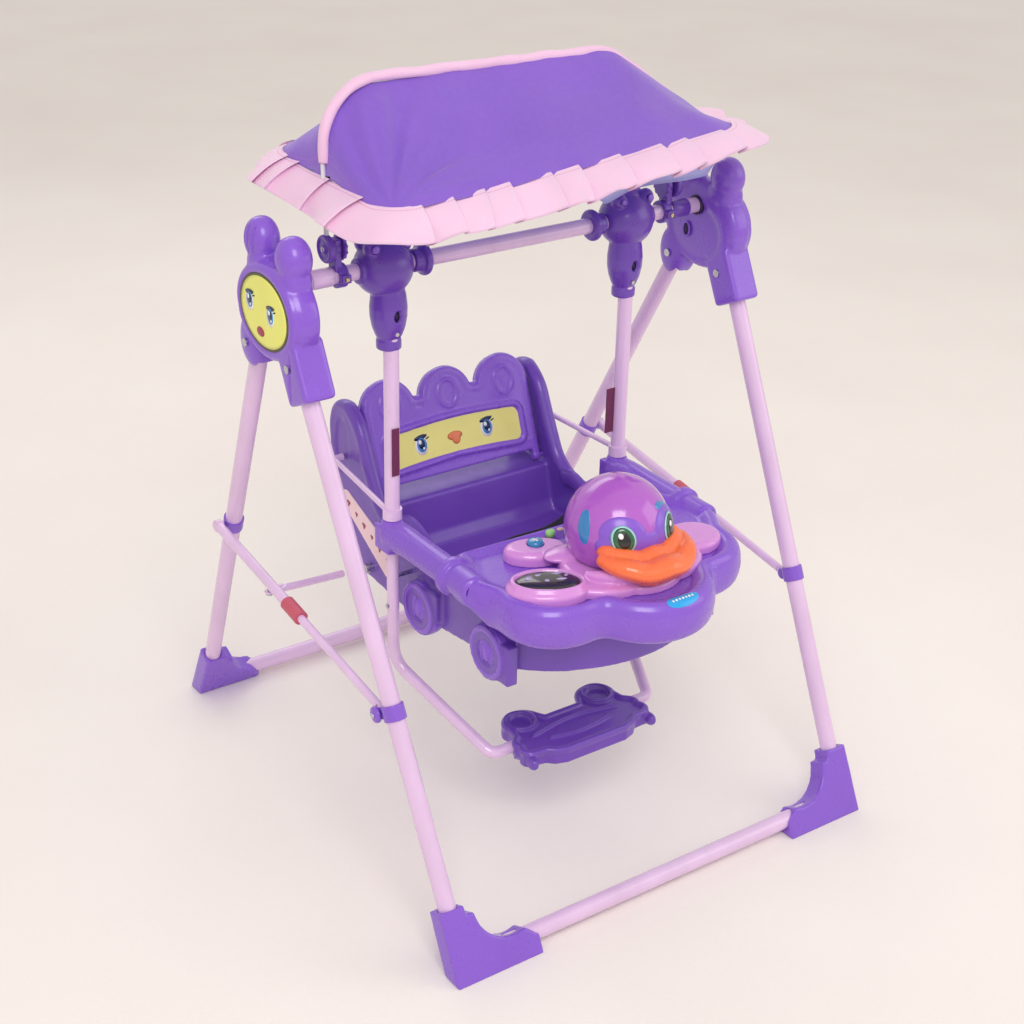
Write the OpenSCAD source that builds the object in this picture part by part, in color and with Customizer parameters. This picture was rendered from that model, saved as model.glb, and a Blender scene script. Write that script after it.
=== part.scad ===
// Baby swing: a folding A-frame stand, a hanging seat with tray and toy, and a cloth canopy.
// The origin is on the floor under the middle of the crossbar. The child faces -Y, +Z is up.

/* [Stand] */
// Height of the crossbar's centreline above the floor
bar_h = 1000; // [990:1:1015]
// Distance from the middle to each front foot
front_foot_x = 410; // [405:1:415]
// Distance from the middle to each rear foot
rear_foot_x = 360; // [355:1:365]
// Distance from the crossbar's line to the front and rear feet, along Y
foot_y = 490; // [480:1:500]
// Outer diameter of the leg and base tubes
leg_d = 30; // [29:0.5:30]
// Outer diameter of the crossbar
bar_d = 27; // [26:0.5:27]

/* [Swing] */
// Distance from the middle to each hanger tube
hanger_x = 240; // [239:0.5:241]
// Outer diameter of the hanger tubes
hanger_d = 26; // [25.5:0.5:26]
// Outer diameter of the bent tube that carries the footrest
footrest_tube_d = 21; // [20:0.5:21]
// Overall width of the seat's side walls
seat_w = 410; // [406:1:412]
// Height of the seat's floor
seat_floor_h = 420; // [415:1:425]

/* [Canopy] */
// Distance from the middle to the canopy's hem, along the crossbar
hem_x = 352; // [350:1:354]
// Distance from the middle to the canopy's hem, across the crossbar
hem_y = 185; // [175:1:195]
// Height of the hem
hem_h = 1165; // [1160:1:1170]
// Height of the ridge rod
ridge_h = 1305; // [1290:1:1310]

/* [Hidden] */
$fn = 48;

// Colours
violet = "#7b52be";
deep_violet = "#5a369a";
tube_pink = "#e3bfe0";
lock_red = "#c4566a";
steel = "#c9c9cf";
badge_green = "#e2e36a";
sticker_pink = "#f6d3da";
webbing_black = "#1c1c24";
tag_plum = "#6b1f4f";
orchid = "#c070d8";
toy_pink = "#d27ccb";
beak_orange = "#ff7f4f";
label_blue = "#2aaee8";
leaf_green = "#8fd46a";
cloth_violet = "#8a63c9";
cloth_pink = "#f3c6dc";

// Clearances: a turning or sliding fit, a snug fit inside one body, and a gap between bodies
run_gap = 0.05;
snug_gap = 0.02;
free_gap = 0.4;
// How much fatter a bend is than the straight tubes that enter its ends, and how far they enter
bend_step = 0.1;
bend_lap = 0.6;

// Stand
leg_r = leg_d / 2;
tube_wall = 1.5;
bar_r = bar_d / 2;
leg_top_x = 435;
rear_top_x = 430;
leg_top_y = 55;
leg_top_h = 920;
foot_h = 22;
foot_bend = 60;
base_half = 285;
spigot_len = 40;
spigot_r = leg_r - tube_wall - snug_gap;
leg_slope = (foot_y - leg_top_y) / (leg_top_h - foot_h);
lean = atan(leg_slope);

// Hubs, between these distances from the middle
hub_in = 402;
hub_out = 457;
hub_head_h = -36;
hub_head = [88, 70];
ear_at = [48, 62];
ear_r = 30;
lobe_w = 56;
lobe_len = 62;
bolt_h = 893;
bolt_r = 4;
slot_in = 409.5;
slot_out = 445;
slot_r = 21;
fold_max = 30;
badge_size = [76, 59];
badge_t = 0.8;

// Fold braces
brace_x = 424;
clevis_h = 396;
clevis_reach = 26;
saddle_h = 474;
brace_tube_r = 9.2;
brace_rod_r = 7.2;
brace_tube_len = 290;
brace_rod_in = 30;
collar_r = 12.5;
collar_len = 48;
eye_r = 7;
eye_half = 4;
rivet_r = 3;

// Swing lock bar: it turns under the left brace tube and points at the seat's side
lock_pivot = [-brace_x, 88, 426];
lock_end = [-262, 120, 399];
lock_r = 6.5;
lock_shank = 12.6;

// Hangers
hanger_y = -15;
hanger_r = hanger_d / 2;
foot_tube_r = footrest_tube_d / 2;
hanger_wall = hanger_r - foot_tube_r - snug_gap;
hanger_top = 948;
hanger_low = 512;
bulb_x = 244;
bulb_r = 47;
foot_tube_top = 600;
foot_bend_h = 282;
foot_axis = [172, -222, 176];
button_h = 895;
button_r = 3.5;
button_travel = 3;

// Seat
seat_half = seat_w / 2;
wall_t = 24;
wheel_r = 48;
wheel_at = [[-66, 404], [-272, 420]];
wheel_out = 224;
recline_at = [136, 518];
panel_tilt = 20;
panel_t = 26;
panel_back = 20;
panel_low = 14;
lug_r = 8;
panel_half = 174;
hump_x = 122;
stay_h = 570;
belt_half = 176;

// Tray and arms
arm_h = 535;
arm_r = 25;
cap_r = 24;
cap_low = 505;
cap_high = 545;
spigot_y = -205;
tray_spigot_r = 19;
tray_spigot_len = 62;
collar_y = -214;
tray_top = 545;
tray_t = 30;
lip_low = 482;

// Toy
toy_y = -318;
toy_h = 610;
head_r = 87;
mask_t = 3;
base_t = 22;
base_low = tray_top + snug_gap;
base_high = base_low + base_t;
toy_travel = 3;

// Canopy
tilt_h = 1046;
tilt_x = 345;
rod_r = 3.8;
wire_r = 2;
cloth_t = 4;
hem_corner = 80;
hem_drop = 20;
ruffle_w = 46;
cover_x = hem_x - 12;
cover_y = hem_y - 4;
disc_r = 18;

function unit(v) = v / norm(v);

function turn(p, i) = acos(unit(p[i] - p[i - 1]) * unit(p[i + 1] - p[i]));

function trim(p, bends, i) = i == 0 || i == len(p) - 1 ? 0 : bends[i] * tan(turn(p, i) / 2);

// A point on the left front leg's or rear leg's centreline at a height
function front_leg_at(h) = [
    -front_foot_x - (leg_top_x - front_foot_x) * (h - foot_h) / (leg_top_h - foot_h),
    -foot_y + leg_slope * (h - foot_h),
    h
];

function rear_leg_at(h) = [
    -rear_foot_x - (rear_top_x - rear_foot_x) * (h - foot_h) / (leg_top_h - foot_h),
    foot_y - leg_slope * (h - foot_h),
    h
];

function ellipse(a, b, n = 48) = [for (i = [0:n - 1]) [a * cos(360 * i / n), b * sin(360 * i / n)]];

// Places children with their own X, Y and Z directions at an origin
module placed(origin, x_dir, y_dir, z_dir) {
    multmatrix([
        [x_dir.x, y_dir.x, z_dir.x, origin.x],
        [x_dir.y, y_dir.y, z_dir.y, origin.y],
        [x_dir.z, y_dir.z, z_dir.z, origin.z]
    ])
        children();
}

// Places children at a with their Z pointing towards b
module aimed(a, b) {
    z_dir = unit(b - a);
    x_dir = unit(cross(abs(z_dir.z) < 0.9 ? [0, 0, 1] : [1, 0, 0], z_dir));
    placed(a, x_dir, cross(z_dir, x_dir), z_dir)
        children();
}

// Draws a left part, or its mirror image on the right
module sided(right) {
    mirror([right ? 1 : 0, 0, 0])
        children();
}

module ring(r, wall) {
    difference() {
        circle(r = r);
        if (wall < r) circle(r = r - wall);
    }
}

module straight(a, b, r, wall) {
    aimed(a, b)
        linear_extrude(norm(b - a))
            ring(r, wall);
}

module elbow(p, d1, d2, bend, r, wall) {
    axis = unit(cross(d1, d2));
    angle = acos(d1 * d2);
    start = p - d1 * bend * tan(angle / 2);
    inward = cross(axis, d1);
    placed(start + inward * bend, -inward, d1, axis)
        rotate_extrude(angle = angle)
            translate([bend, 0])
                ring(r + bend_step, wall < r ? wall + 2 * bend_step : r + bend_step);
}

// A tube along a list of points, with a round bend at each inner point
module tube_path(p, bends, r, wall) {
    for (i = [0:len(p) - 2]) {
        d = unit(p[i + 1] - p[i]);
        a = i == 0 ? 0 : trim(p, bends, i) - bend_lap;
        b = i == len(p) - 2 ? 0 : trim(p, bends, i + 1) - bend_lap;
        straight(p[i] + d * a, p[i + 1] - d * b, r, wall);
    }
    for (i = [1:len(p) - 2])
        elbow(p[i], unit(p[i] - p[i - 1]), unit(p[i + 1] - p[i]), bends[i], r, wall);
}

// Extrudes a Y-Z outline along X, from x0 to x1
module slab(x0, x1) {
    translate([x0, 0, 0])
        rotate([90, 0, 90])
            linear_extrude(x1 - x0)
                children();
}

module x_rod(x0, x1, y, z, r) {
    translate([x0, y, z])
        rotate([0, 90, 0])
            cylinder(r = r, h = x1 - x0);
}

// ---- Stand ----

// A leg with its foot bend and the spigot that enters the base bar
module bent_leg(top, foot) {
    inner = [-base_half, foot.y, foot.z];
    down = unit(foot - top);
    difference() {
        union() {
            tube_path([top, foot, inner], [0, foot_bend, 0], leg_r, leg_r);
            straight(inner - [4, 0, 0], inner + [spigot_len, 0, 0], spigot_r, spigot_r);
        }
        straight(top - down, foot - down * (foot_bend + 20), leg_r - tube_wall, leg_r - tube_wall);
    }
}

module front_leg(right) {
    color(tube_pink)
        sided(right)
            bent_leg(front_leg_at(leg_top_h), front_leg_at(foot_h));
}

module front_leg_left() {
    front_leg(false);
}

module front_leg_right() {
    front_leg(true);
}

// A bar between two legs, hollow so that the legs' spigots slide in
module base_bar(y) {
    color(tube_pink)
        straight([-base_half, y, foot_h], [base_half, y, foot_h], leg_r, tube_wall);
}

module front_base_bar() {
    base_bar(-foot_y);
}

module rear_base_bar() {
    base_bar(foot_y);
}

// A shoe's outline, drawn in the leg's own leaning plane with the foot bend's corner at 0
module shoe_outline(w) {
    difference() {
        polygon([[-26, -40], [-26, 92], [20, 92], [w, 0], [w, -40]]);
        translate([20 + foot_bend + 15, 15 + foot_bend])
            circle(r = foot_bend);
        polygon([[20, 75], [80, 75], [w + 1, 15], [w + 1, 120], [20, 120]]);
    }
}

// A corner casing round a foot bend, open on the inside of the bend and flat underneath
module shoe(foot, tilt, w) {
    difference() {
        translate(foot)
            rotate([tilt, 0, 0])
                rotate([90, 0, 0])
                    translate([0, 0, -19])
                        linear_extrude(38)
                            shoe_outline(w);
        translate([foot.x - 150, foot.y - 150, -100])
            cube([w + 300, 300, 100]);
        children();
    }
}

module leg_space(top, foot) {
    inner = [foot.x + 400, foot.y, foot.z];
    tube_path([top, foot, inner], [0, foot_bend, 0], leg_r + snug_gap, leg_r + snug_gap);
}

module front_shoe(right) {
    color(violet)
        sided(right)
            shoe(front_leg_at(foot_h), -lean, 140)
                leg_space(front_leg_at(leg_top_h), front_leg_at(foot_h));
}

module front_shoe_left() {
    front_shoe(false);
}

module front_shoe_right() {
    front_shoe(true);
}

module rear_shoe(right) {
    color(violet)
        sided(right)
            shoe(rear_leg_at(foot_h), lean, 105)
                leg_space(rear_leg_at(leg_top_h), rear_leg_at(foot_h));
}

module rear_shoe_left() {
    rear_shoe(false);
}

module rear_shoe_right() {
    rear_shoe(true);
}

module crossbar() {
    color(tube_pink)
        straight([-hub_out + 15, 0, bar_h], [hub_out - 15, 0, bar_h], bar_r, tube_wall);
}

// A hub lobe round the top of one leg
module lobe(side) {
    translate([side * bolt_y(), bolt_h - bar_h])
        rotate(side * lean)
            translate([-lobe_w / 2, -lobe_len + 20])
                offset(r = 8)
                    offset(delta = -8)
                        square([lobe_w, lobe_len + 20]);
}

function bolt_y() = leg_top_y + leg_slope * (leg_top_h - bolt_h);

// A bear's head seen from the side: face, two ears and a lobe for each leg
module hub_outline() {
    translate([0, hub_head_h])
        polygon(ellipse(hub_head.x, hub_head.y));
    for (side = [-1, 1]) {
        translate([side * ear_at.x, ear_at.y])
            circle(r = ear_r);
        translate([side * (ear_at.x - 6), ear_at.y - 34])
            circle(r = ear_r - 6);
        lobe(side);
    }
}

// The room that the rear leg's end needs inside its lobe as the frame folds
module fold_slot() {
    reach = 110;
    translate([bolt_y(), bolt_h - bar_h]) {
        circle(r = slot_r);
        for (a = [0:fold_max / 6:fold_max])
            rotate(lean - a)
                translate([-leg_r - 1, -reach])
                    square([2 * leg_r + 2, reach]);
    }
}

module hub(right) {
    color(violet)
        sided(right)
            difference() {
                translate([0, 0, bar_h])
                    slab(-hub_out, -hub_in)
                        hub_outline();
                straight([-hub_out + 15, 0, bar_h], [0, 0, bar_h], bar_r + snug_gap, bar_r + snug_gap);
                translate([0, 0, bar_h])
                    slab(-slot_out, -slot_in)
                        fold_slot();
                straight(front_leg_at(leg_top_h), front_leg_at(700), leg_r + snug_gap, leg_r + snug_gap);
                for (y = [-bolt_y(), bolt_y()])
                    x_rod(-hub_out - 1, -hub_in + 1, y, bolt_h, bolt_r + snug_gap);
                x_rod(-hub_in - 12, -hub_in + 1, 0, bar_h - 48, 10);
            }
}

module hub_left() {
    hub(false);
}

module hub_right() {
    hub(true);
}

module hub_badges() {
    color(badge_green)
        for (right = [false, true])
            sided(right)
                translate([0, 0, bar_h + hub_head_h])
                    slab(-hub_out - badge_t, -hub_out)
                        polygon(ellipse(badge_size.x, badge_size.y));
}

// Two bolts through each hub: a fixed one for the front leg and the rear leg's fold pivot
module hub_bolts() {
    color(steel)
        for (right = [false, true])
            sided(right)
                for (y = [-bolt_y(), bolt_y()]) {
                    difference() {
                        x_rod(-hub_out - 0.5, -hub_in + 0.5, y, bolt_h, bolt_r);
                        if (y < 0)
                            straight(front_leg_at(leg_top_h), front_leg_at(800),
                                leg_r + 1, leg_r + 1);
                    }
                    x_rod(-hub_out - 2.5, -hub_out - 0.5, y, bolt_h, 7);
                    x_rod(-hub_in + 0.5, -hub_in + 3, y, bolt_h, 7);
                }
}

module rear_leg(right) {
    color(tube_pink)
        sided(right)
            difference() {
                bent_leg(rear_leg_at(bolt_h + 10), rear_leg_at(foot_h));
                x_rod(-hub_out, -hub_in, bolt_y(), bolt_h, bolt_r + run_gap);
            }
}

module rear_leg_left() {
    rear_leg(false);
}

module rear_leg_right() {
    rear_leg(true);
}

// ---- Fold braces ----

function clevis_at() = [
    -brace_x,
    front_leg_at(clevis_h).y + clevis_reach * cos(lean),
    clevis_h - clevis_reach * sin(lean)
];

function saddle_at() = [-brace_x, rear_leg_at(saddle_h).y, saddle_h];

function brace_at(s) = saddle_at() + unit(clevis_at() - saddle_at()) * s;

function brace_len() = norm(clevis_at() - saddle_at());

// A ring round a leg, with its bore a snug fit
module leg_ring(p, q, wall, h) {
    aimed(p - unit(q - p) * h / 2, q)
        linear_extrude(h)
            ring(leg_r + snug_gap + wall, wall);
}

module brace_clevis(right) {
    p = front_leg_at(clevis_h);
    color(violet)
        sided(right) {
            difference() {
                union() {
                    leg_ring(p, front_leg_at(leg_top_h), 3.5, 26);
                    for (x = [-brace_x - eye_half - 5, -brace_x + eye_half + 1])
                        slab(x, x + 4)
                            hull() {
                                translate([p.y, p.z])
                                    circle(r = 10);
                                translate([clevis_at().y, clevis_at().z])
                                    circle(r = 10);
                            }
                }
                straight(front_leg_at(foot_h + 100), front_leg_at(leg_top_h),
                    leg_r + snug_gap, leg_r + snug_gap);
            }
            x_rod(-brace_x - eye_half - 7, -brace_x + eye_half + 6,
                clevis_at().y, clevis_at().z, rivet_r);
        }
}

module brace_clevis_left() {
    brace_clevis(false);
}

module brace_clevis_right() {
    brace_clevis(true);
}

module brace_saddles() {
    color(violet)
        for (right = [false, true])
            sided(right)
                leg_ring(rear_leg_at(saddle_h), rear_leg_at(leg_top_h), 3, 24);
}

// The thinner rod, pivoted at the front leg and sliding in the brace tube
module brace_rod(right) {
    color(tube_pink)
        sided(right)
            aimed(clevis_at(), saddle_at())
                difference() {
                    union() {
                        translate([0, 0, 4])
                            cylinder(r = brace_rod_r, h = brace_len() - brace_tube_len + brace_rod_in);
                        translate([-eye_half, 0, 0])
                            rotate([0, 90, 0])
                                cylinder(r = eye_r, h = 2 * eye_half);
                    }
                    translate([-20, 0, 0])
                        rotate([0, 90, 0])
                            cylinder(r = rivet_r + run_gap, h = 40);
                    for (x = [-eye_half - 20, eye_half])
                        translate([x, -20, -20])
                            cube([20, 40, 36]);
                }
}

module brace_rod_left() {
    brace_rod(false);
}

module brace_rod_right() {
    brace_rod(true);
}

// The outer tube, with a closed eye end beside the rear leg
module brace_tube(right) {
    color(tube_pink)
        sided(right)
            aimed(saddle_at(), clevis_at())
                difference() {
                    union() {
                        cylinder(r = brace_tube_r, h = brace_tube_len);
                        translate([-6, 0, 0])
                            rotate([0, 90, 0])
                                cylinder(r = 11, h = 12);
                        translate([-8.5, 0, 0])
                            rotate([0, 90, 0])
                                cylinder(r = 7, h = 17);
                    }
                    translate([0, 0, 15])
                        cylinder(r = brace_rod_r + run_gap, h = brace_tube_len);
                }
}

module brace_tube_left() {
    brace_tube(false);
}

module brace_tube_right() {
    brace_tube(true);
}

// The twist-lock collar over the end of the brace tube
module brace_collar(right) {
    color(lock_red)
        sided(right)
            aimed(saddle_at(), clevis_at())
                translate([0, 0, brace_tube_len + 8 - collar_len])
                    difference() {
                        cylinder(r = collar_r, h = collar_len);
                        translate([0, 0, -1])
                            cylinder(r = brace_tube_r + snug_gap, h = collar_len - 7 + snug_gap);
                        cylinder(r = brace_rod_r + run_gap, h = collar_len + 1);
                    }
}

module brace_collar_left() {
    brace_collar(false);
}

module brace_collar_right() {
    brace_collar(true);
}

// A bar with one flattened end, turning on a pin under the left brace tube
module lock_bar() {
    color(tube_pink)
        difference() {
            union() {
                translate([0, 0, lock_pivot.z - 1.5])
                    linear_extrude(3)
                        hull() {
                            translate([lock_pivot.x, lock_pivot.y])
                                circle(r = 8);
                            translate([lock_pivot.x + 26, lock_pivot.y + 5])
                                circle(r = 8);
                        }
                straight(lock_pivot + [20, 4, -3], lock_end, lock_r, lock_r);
            }
            translate([lock_pivot.x, lock_pivot.y, lock_pivot.z - 20])
                cylinder(r = rivet_r + run_gap, h = 40);
        }
}

// The pin's head sits under the bar, and its shank enters the brace tube's underside
module lock_pin() {
    color(steel)
        translate([lock_pivot.x, lock_pivot.y, lock_pivot.z - 1.5]) {
            translate([0, 0, -4])
                cylinder(r = 6, h = 3.5);
            translate([0, 0, -2])
                cylinder(r = rivet_r, h = lock_shank);
        }
}

// ---- Hangers ----

// The bulb's neck and collar outline, turned round the hanger's line
module neck_profile() {
    polygon([
        [0, 865], [20, 865], [20, 879], [23, 881], [27, 893], [30, 912], [30.5, 930],
        [28, 952], [24, 975], [0, 975]
    ]);
}

module hanger_bulb(right) {
    color(deep_violet)
        sided(right)
            difference() {
                union() {
                    translate([-bulb_x, 0, bar_h])
                        sphere(r = bulb_r);
                    translate([-bulb_x + 4, hanger_y / 2, 0])
                        rotate_extrude()
                            neck_profile();
                    x_rod(-bulb_x, -bulb_x + 78, 0, bar_h, 21);
                    x_rod(-bulb_x - 50, -bulb_x, 0, bar_h, 21);
                    for (y = [-24, 24])
                        translate([-bulb_x, y, bar_h + 36])
                            sphere(r = 15);
                }
                x_rod(-bulb_x - 60, -bulb_x + 90, 0, bar_h, bar_r + run_gap);
                translate([-hanger_x, hanger_y, 800])
                    cylinder(r = hanger_r + snug_gap, h = hanger_top - 800);
                translate([-hanger_x, hanger_y, button_h])
                    rotate([90, 0, 0])
                        cylinder(r = button_r + 0.3, h = 60);
                translate([-hanger_x, hanger_y - hanger_r - 3, button_h + 30])
                    rotate([90, 0, 0])
                        linear_extrude(40)
                            polygon(ellipse(5, 9));
            }
}

module hanger_bulb_left() {
    hanger_bulb(false);
}

module hanger_bulb_right() {
    hanger_bulb(true);
}

module hanger_tube(right) {
    color(tube_pink)
        sided(right)
            difference() {
                translate([-hanger_x, hanger_y, hanger_low])
                    linear_extrude(hanger_top - hanger_low - snug_gap)
                        ring(hanger_r, hanger_wall);
                translate([-hanger_x, hanger_y, button_h])
                    rotate([90, 0, 0])
                        cylinder(r = button_r + run_gap, h = 60);
            }
}

module hanger_tube_left() {
    hanger_tube(false);
}

module hanger_tube_right() {
    hanger_tube(true);
}

// A spring button that latches the hanger tube in its bulb; its flange stays inside the tube
module bulb_button(right) {
    back = foot_tube_r - 2.5;
    color(steel)
        sided(right) {
            translate([-hanger_x, hanger_y - back + 2, button_h])
                rotate([90, 0, 0])
                    cylinder(r = button_r, h = hanger_r + 9 - back);
            translate([-hanger_x, hanger_y - back + 5, button_h])
                rotate([90, 0, 0])
                    cylinder(r = button_r + 1, h = 4);
        }
}

module bulb_button_left() {
    bulb_button(false);
}

module bulb_button_right() {
    bulb_button(true);
}

// The bent tube under the seat: down from both hangers, forward and across
module footrest_tube() {
    top = [-hanger_x, hanger_y, foot_tube_top];
    knee = [-hanger_x, hanger_y, foot_bend_h];
    corner = [-foot_axis.x, foot_axis.y, foot_axis.z];
    color(tube_pink) {
        for (right = [false, true])
            sided(right)
                tube_path([top, knee, corner, [-100, corner.y, corner.z]], [0, 50, 20, 0],
                    foot_tube_r, tube_wall);
        straight([-100, corner.y, corner.z], [100, corner.y, corner.z], foot_tube_r, tube_wall);
    }
}

// A car-shaped plate that turns on the bent tube
module footrest() {
    color(violet)
        difference() {
            translate([0, foot_axis.y, foot_axis.z - 16])
                linear_extrude(32)
                    offset(r = 10)
                        offset(delta = -10)
                            union() {
                                translate([-120, -55])
                                    square([240, 92]);
                                translate([-148, -78])
                                    square([296, 72]);
                                for (x = [-84, 84])
                                    translate([x, 42])
                                        circle(r = 36);
                            }
            x_rod(-160, 160, foot_axis.y, foot_axis.z, foot_tube_r + run_gap);
            for (side = [-1, 1])
                translate([side * 160 - 12, foot_axis.y - 40, foot_axis.z - 20])
                    cube([24, 80, 40]);
        }
}

// ---- Seat ----

// The seat's side view: a car body with a tall ear at the back
module side_outline() {
    offset(r = 14)
        offset(delta = -14)
            polygon([
                [195, 378], [216, 452], [240, 545], [252, 632], [236, 674], [200, 682],
                [166, 650], [136, 585], [104, 530], [58, 500], [-60, 494], [-420, 494],
                [-420, 402], [-228, 396], [-85, 378], [0, 366], [112, 376]
            ]);
}

// The seat's plan view: straight sides with a bowed front
module plan_outline(half, front) {
    bow_r = (half * half + 100 * 100) / 200;
    translate([-half, -front + 100])
        square([2 * half, 260 + front - 100]);
    intersection() {
        translate([0, -front + bow_r])
            circle(r = bow_r);
        translate([-half, -front])
            square([2 * half, 101]);
    }
}

// The bucket's hollow: open at the top, with a sloped back
module bucket_outline() {
    polygon([
        [-420, 720], [-420, seat_floor_h], [86, seat_floor_h], [100, 440], [118, 506],
        [300, 506], [300, 720]
    ]);
}

// The room under the floor and inside the seat's thick back, open underneath
module under_outline() {
    polygon([
        [-370, 300], [-370, 410], [96, 410], [110, 440], [128, 496],
        [217, 496], [206, 450], [186, 386], [186, 300]
    ]);
}

module seat_shell() {
    inner = seat_half - wall_t;
    color(violet)
        difference() {
            union() {
                intersection() {
                    slab(-seat_half, seat_half)
                        side_outline();
                    translate([0, 0, 300])
                        linear_extrude(450)
                            plan_outline(seat_half, 400);
                }
                for (side = [-1, 1])
                    for (w = wheel_at)
                        x_rod(side > 0 ? seat_half - 8 : -wheel_out,
                            side > 0 ? wheel_out : -seat_half + 8, w.x, w.y, wheel_r);
            }
            intersection() {
                slab(-inner, inner)
                    bucket_outline();
                translate([0, 0, 300])
                    linear_extrude(450)
                        plan_outline(inner, 400 - wall_t);
            }
            intersection() {
                slab(-inner, inner)
                    under_outline();
                translate([0, 0, 280])
                    linear_extrude(450)
                        plan_outline(inner, 400 - wall_t);
            }
            for (x = [-inner - 12, inner])
                x_rod(x, x + 12, recline_at.x, recline_at.y, 4 + run_gap);
            for (side = [-1, 1])
                hull()
                    for (y = [-290, -170])
                        for (x = [70, 130])
                            translate([side * x, y, 300])
                                cylinder(r = 35, h = 200, $fn = 32);
            for (side = [-1, 1])
                for (w = wheel_at)
                    x_rod(side > 0 ? wheel_out - 5 : -wheel_out - 1,
                        side > 0 ? wheel_out + 1 : -wheel_out + 5, w.x, w.y, 24);
        }
}

// Bolts that hold the seat to the bent tube, and a knob at the back of each side
module seat_bolts() {
    color(steel)
        for (right = [false, true])
            sided(right) {
                x_rod(-hanger_x + foot_tube_r + 0.1, -seat_half, hanger_y, 448, 4);
                x_rod(-hanger_x - foot_tube_r - 3, -hanger_x - foot_tube_r, hanger_y, 394, 4);
                x_rod(-seat_half - 14, -seat_half, 115, 398, 9);
            }
}

module side_stickers() {
    color(sticker_pink)
        for (right = [false, true])
            sided(right)
                slab(-seat_half - 0.8, -seat_half)
                    hull() {
                        translate([196, 500])
                            circle(r = 18);
                        translate([40, 440])
                            circle(r = 18);
                        translate([60, 420])
                            circle(r = 18);
                    }
}

// Height of the lap webbing over the seat's floor, at a distance from the middle
function belt_z(x) = seat_floor_h + 2 + 66 * pow(abs(x) / belt_half, 4);

// Lap webbing that lies across the seat's floor
module seat_belt() {
    xs = [-belt_half:10:belt_half];
    color(webbing_black)
        translate([0, 20, 0])
            rotate([90, 0, 0])
                linear_extrude(24)
                    polygon(concat(
                        [for (x = xs) [x, belt_z(x)]],
                        [for (x = xs) [-x, belt_z(x) + 1.6]]
                    ));
}

// A thin bar from the side wall's ear to a clip on the hanger tube
module stay_bar(right) {
    clip = [-hanger_x, hanger_y, stay_h];
    color(violet)
        sided(right) {
            translate([clip.x, clip.y, stay_h - 9])
                linear_extrude(18)
                    ring(hanger_r + snug_gap + 3.5, 3.5);
            straight(clip + [-2, hanger_r + 3, 0], [-222, 210, 578], 5, 5);
            x_rod(-227, -seat_half, 210, 578, 6);
        }
}

module stay_bar_left() {
    stay_bar(false);
}

module stay_bar_right() {
    stay_bar(true);
}

module hanger_tags() {
    color(tag_plum) {
        translate([-hanger_x - 9, hanger_y - hanger_r - 2.6, 645])
            cube([14, 1.6, 85]);
        translate([hanger_x - hanger_r - 18, hanger_y - 1, 610])
            cube([17.6, 2, 85]);
    }
}

// ---- Backrest ----

// The backrest in its own plane: three humps over a straight band
module panel_outline() {
    offset(r = -6)
        offset(delta = 6)
            union() {
                translate([-panel_half, panel_low])
                    square([2 * panel_half, 126]);
                for (x = [-hump_x, 0, hump_x])
                    translate([x, 148])
                        circle(r = 53);
            }
}

module backrest_frame() {
    translate([0, recline_at.x, recline_at.y])
        rotate([90 - panel_tilt, 0, 0])
            children();
}

// The backrest turns on two pins in the seat's side walls
module backrest() {
    pin_len = seat_half - wall_t - panel_half + 12;
    color(violet)
        backrest_frame() {
            translate([0, 0, -panel_back])
                linear_extrude(panel_t)
                    panel_outline();
            for (x = [-panel_half, panel_half - 14]) {
                translate([x, 0, 0])
                    rotate([0, 90, 0])
                        cylinder(r = lug_r, h = 14);
                translate([x, 0, -lug_r])
                    cube([14, panel_low + 6, lug_r + panel_t - panel_back]);
            }
            for (x = [-panel_half - pin_len + 2, panel_half - 2])
                translate([x, 0, 0])
                    rotate([0, 90, 0])
                        cylinder(r = 4, h = pin_len);
        }
}

module backrest_badge() {
    color(badge_green)
        backrest_frame()
            translate([-140, 40, panel_t - panel_back])
                linear_extrude(badge_t)
                    offset(r = 16)
                        offset(delta = -16)
                            square([280, 60]);
}

// ---- Arms and tray ----

// An arm from its cap on the hanger tube to the spigot that the tray slides on
module arm(right) {
    color(violet)
        sided(right)
            difference() {
                union() {
                    translate([-hanger_x, hanger_y, cap_low])
                        cylinder(r = cap_r, h = cap_high - cap_low);
                    translate([-hanger_x, hanger_y, arm_h])
                        rotate([90, 0, 0])
                            cylinder(r = arm_r, h = hanger_y - spigot_y);
                    translate([-hanger_x, spigot_y, arm_h])
                        rotate([90, 0, 0])
                            cylinder(r = tray_spigot_r, h = tray_spigot_len);
                }
                translate([-hanger_x, hanger_y, 0])
                    cylinder(r = hanger_r + snug_gap, h = 700);
                translate([-hanger_x - 40, hanger_y, arm_h - 60])
                    cube([80, 60, 60 - 30]);
            }
}

module arm_left() {
    arm(false);
}

module arm_right() {
    arm(true);
}

// The tray's plan view: a cloud with five lobes at its sides and front
module cloud(grow) {
    translate([-232 - grow, -300])
        square([464 + 2 * grow, 150]);
    for (side = [-1, 1]) {
        translate([side * 176, -232])
            circle(r = 82 + grow);
        translate([side * 150, -362])
            circle(r = 92 + grow);
    }
    translate([0, -412])
        circle(r = 122 + grow);
    translate([-150, -400])
        square([300, 200]);
}

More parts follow.
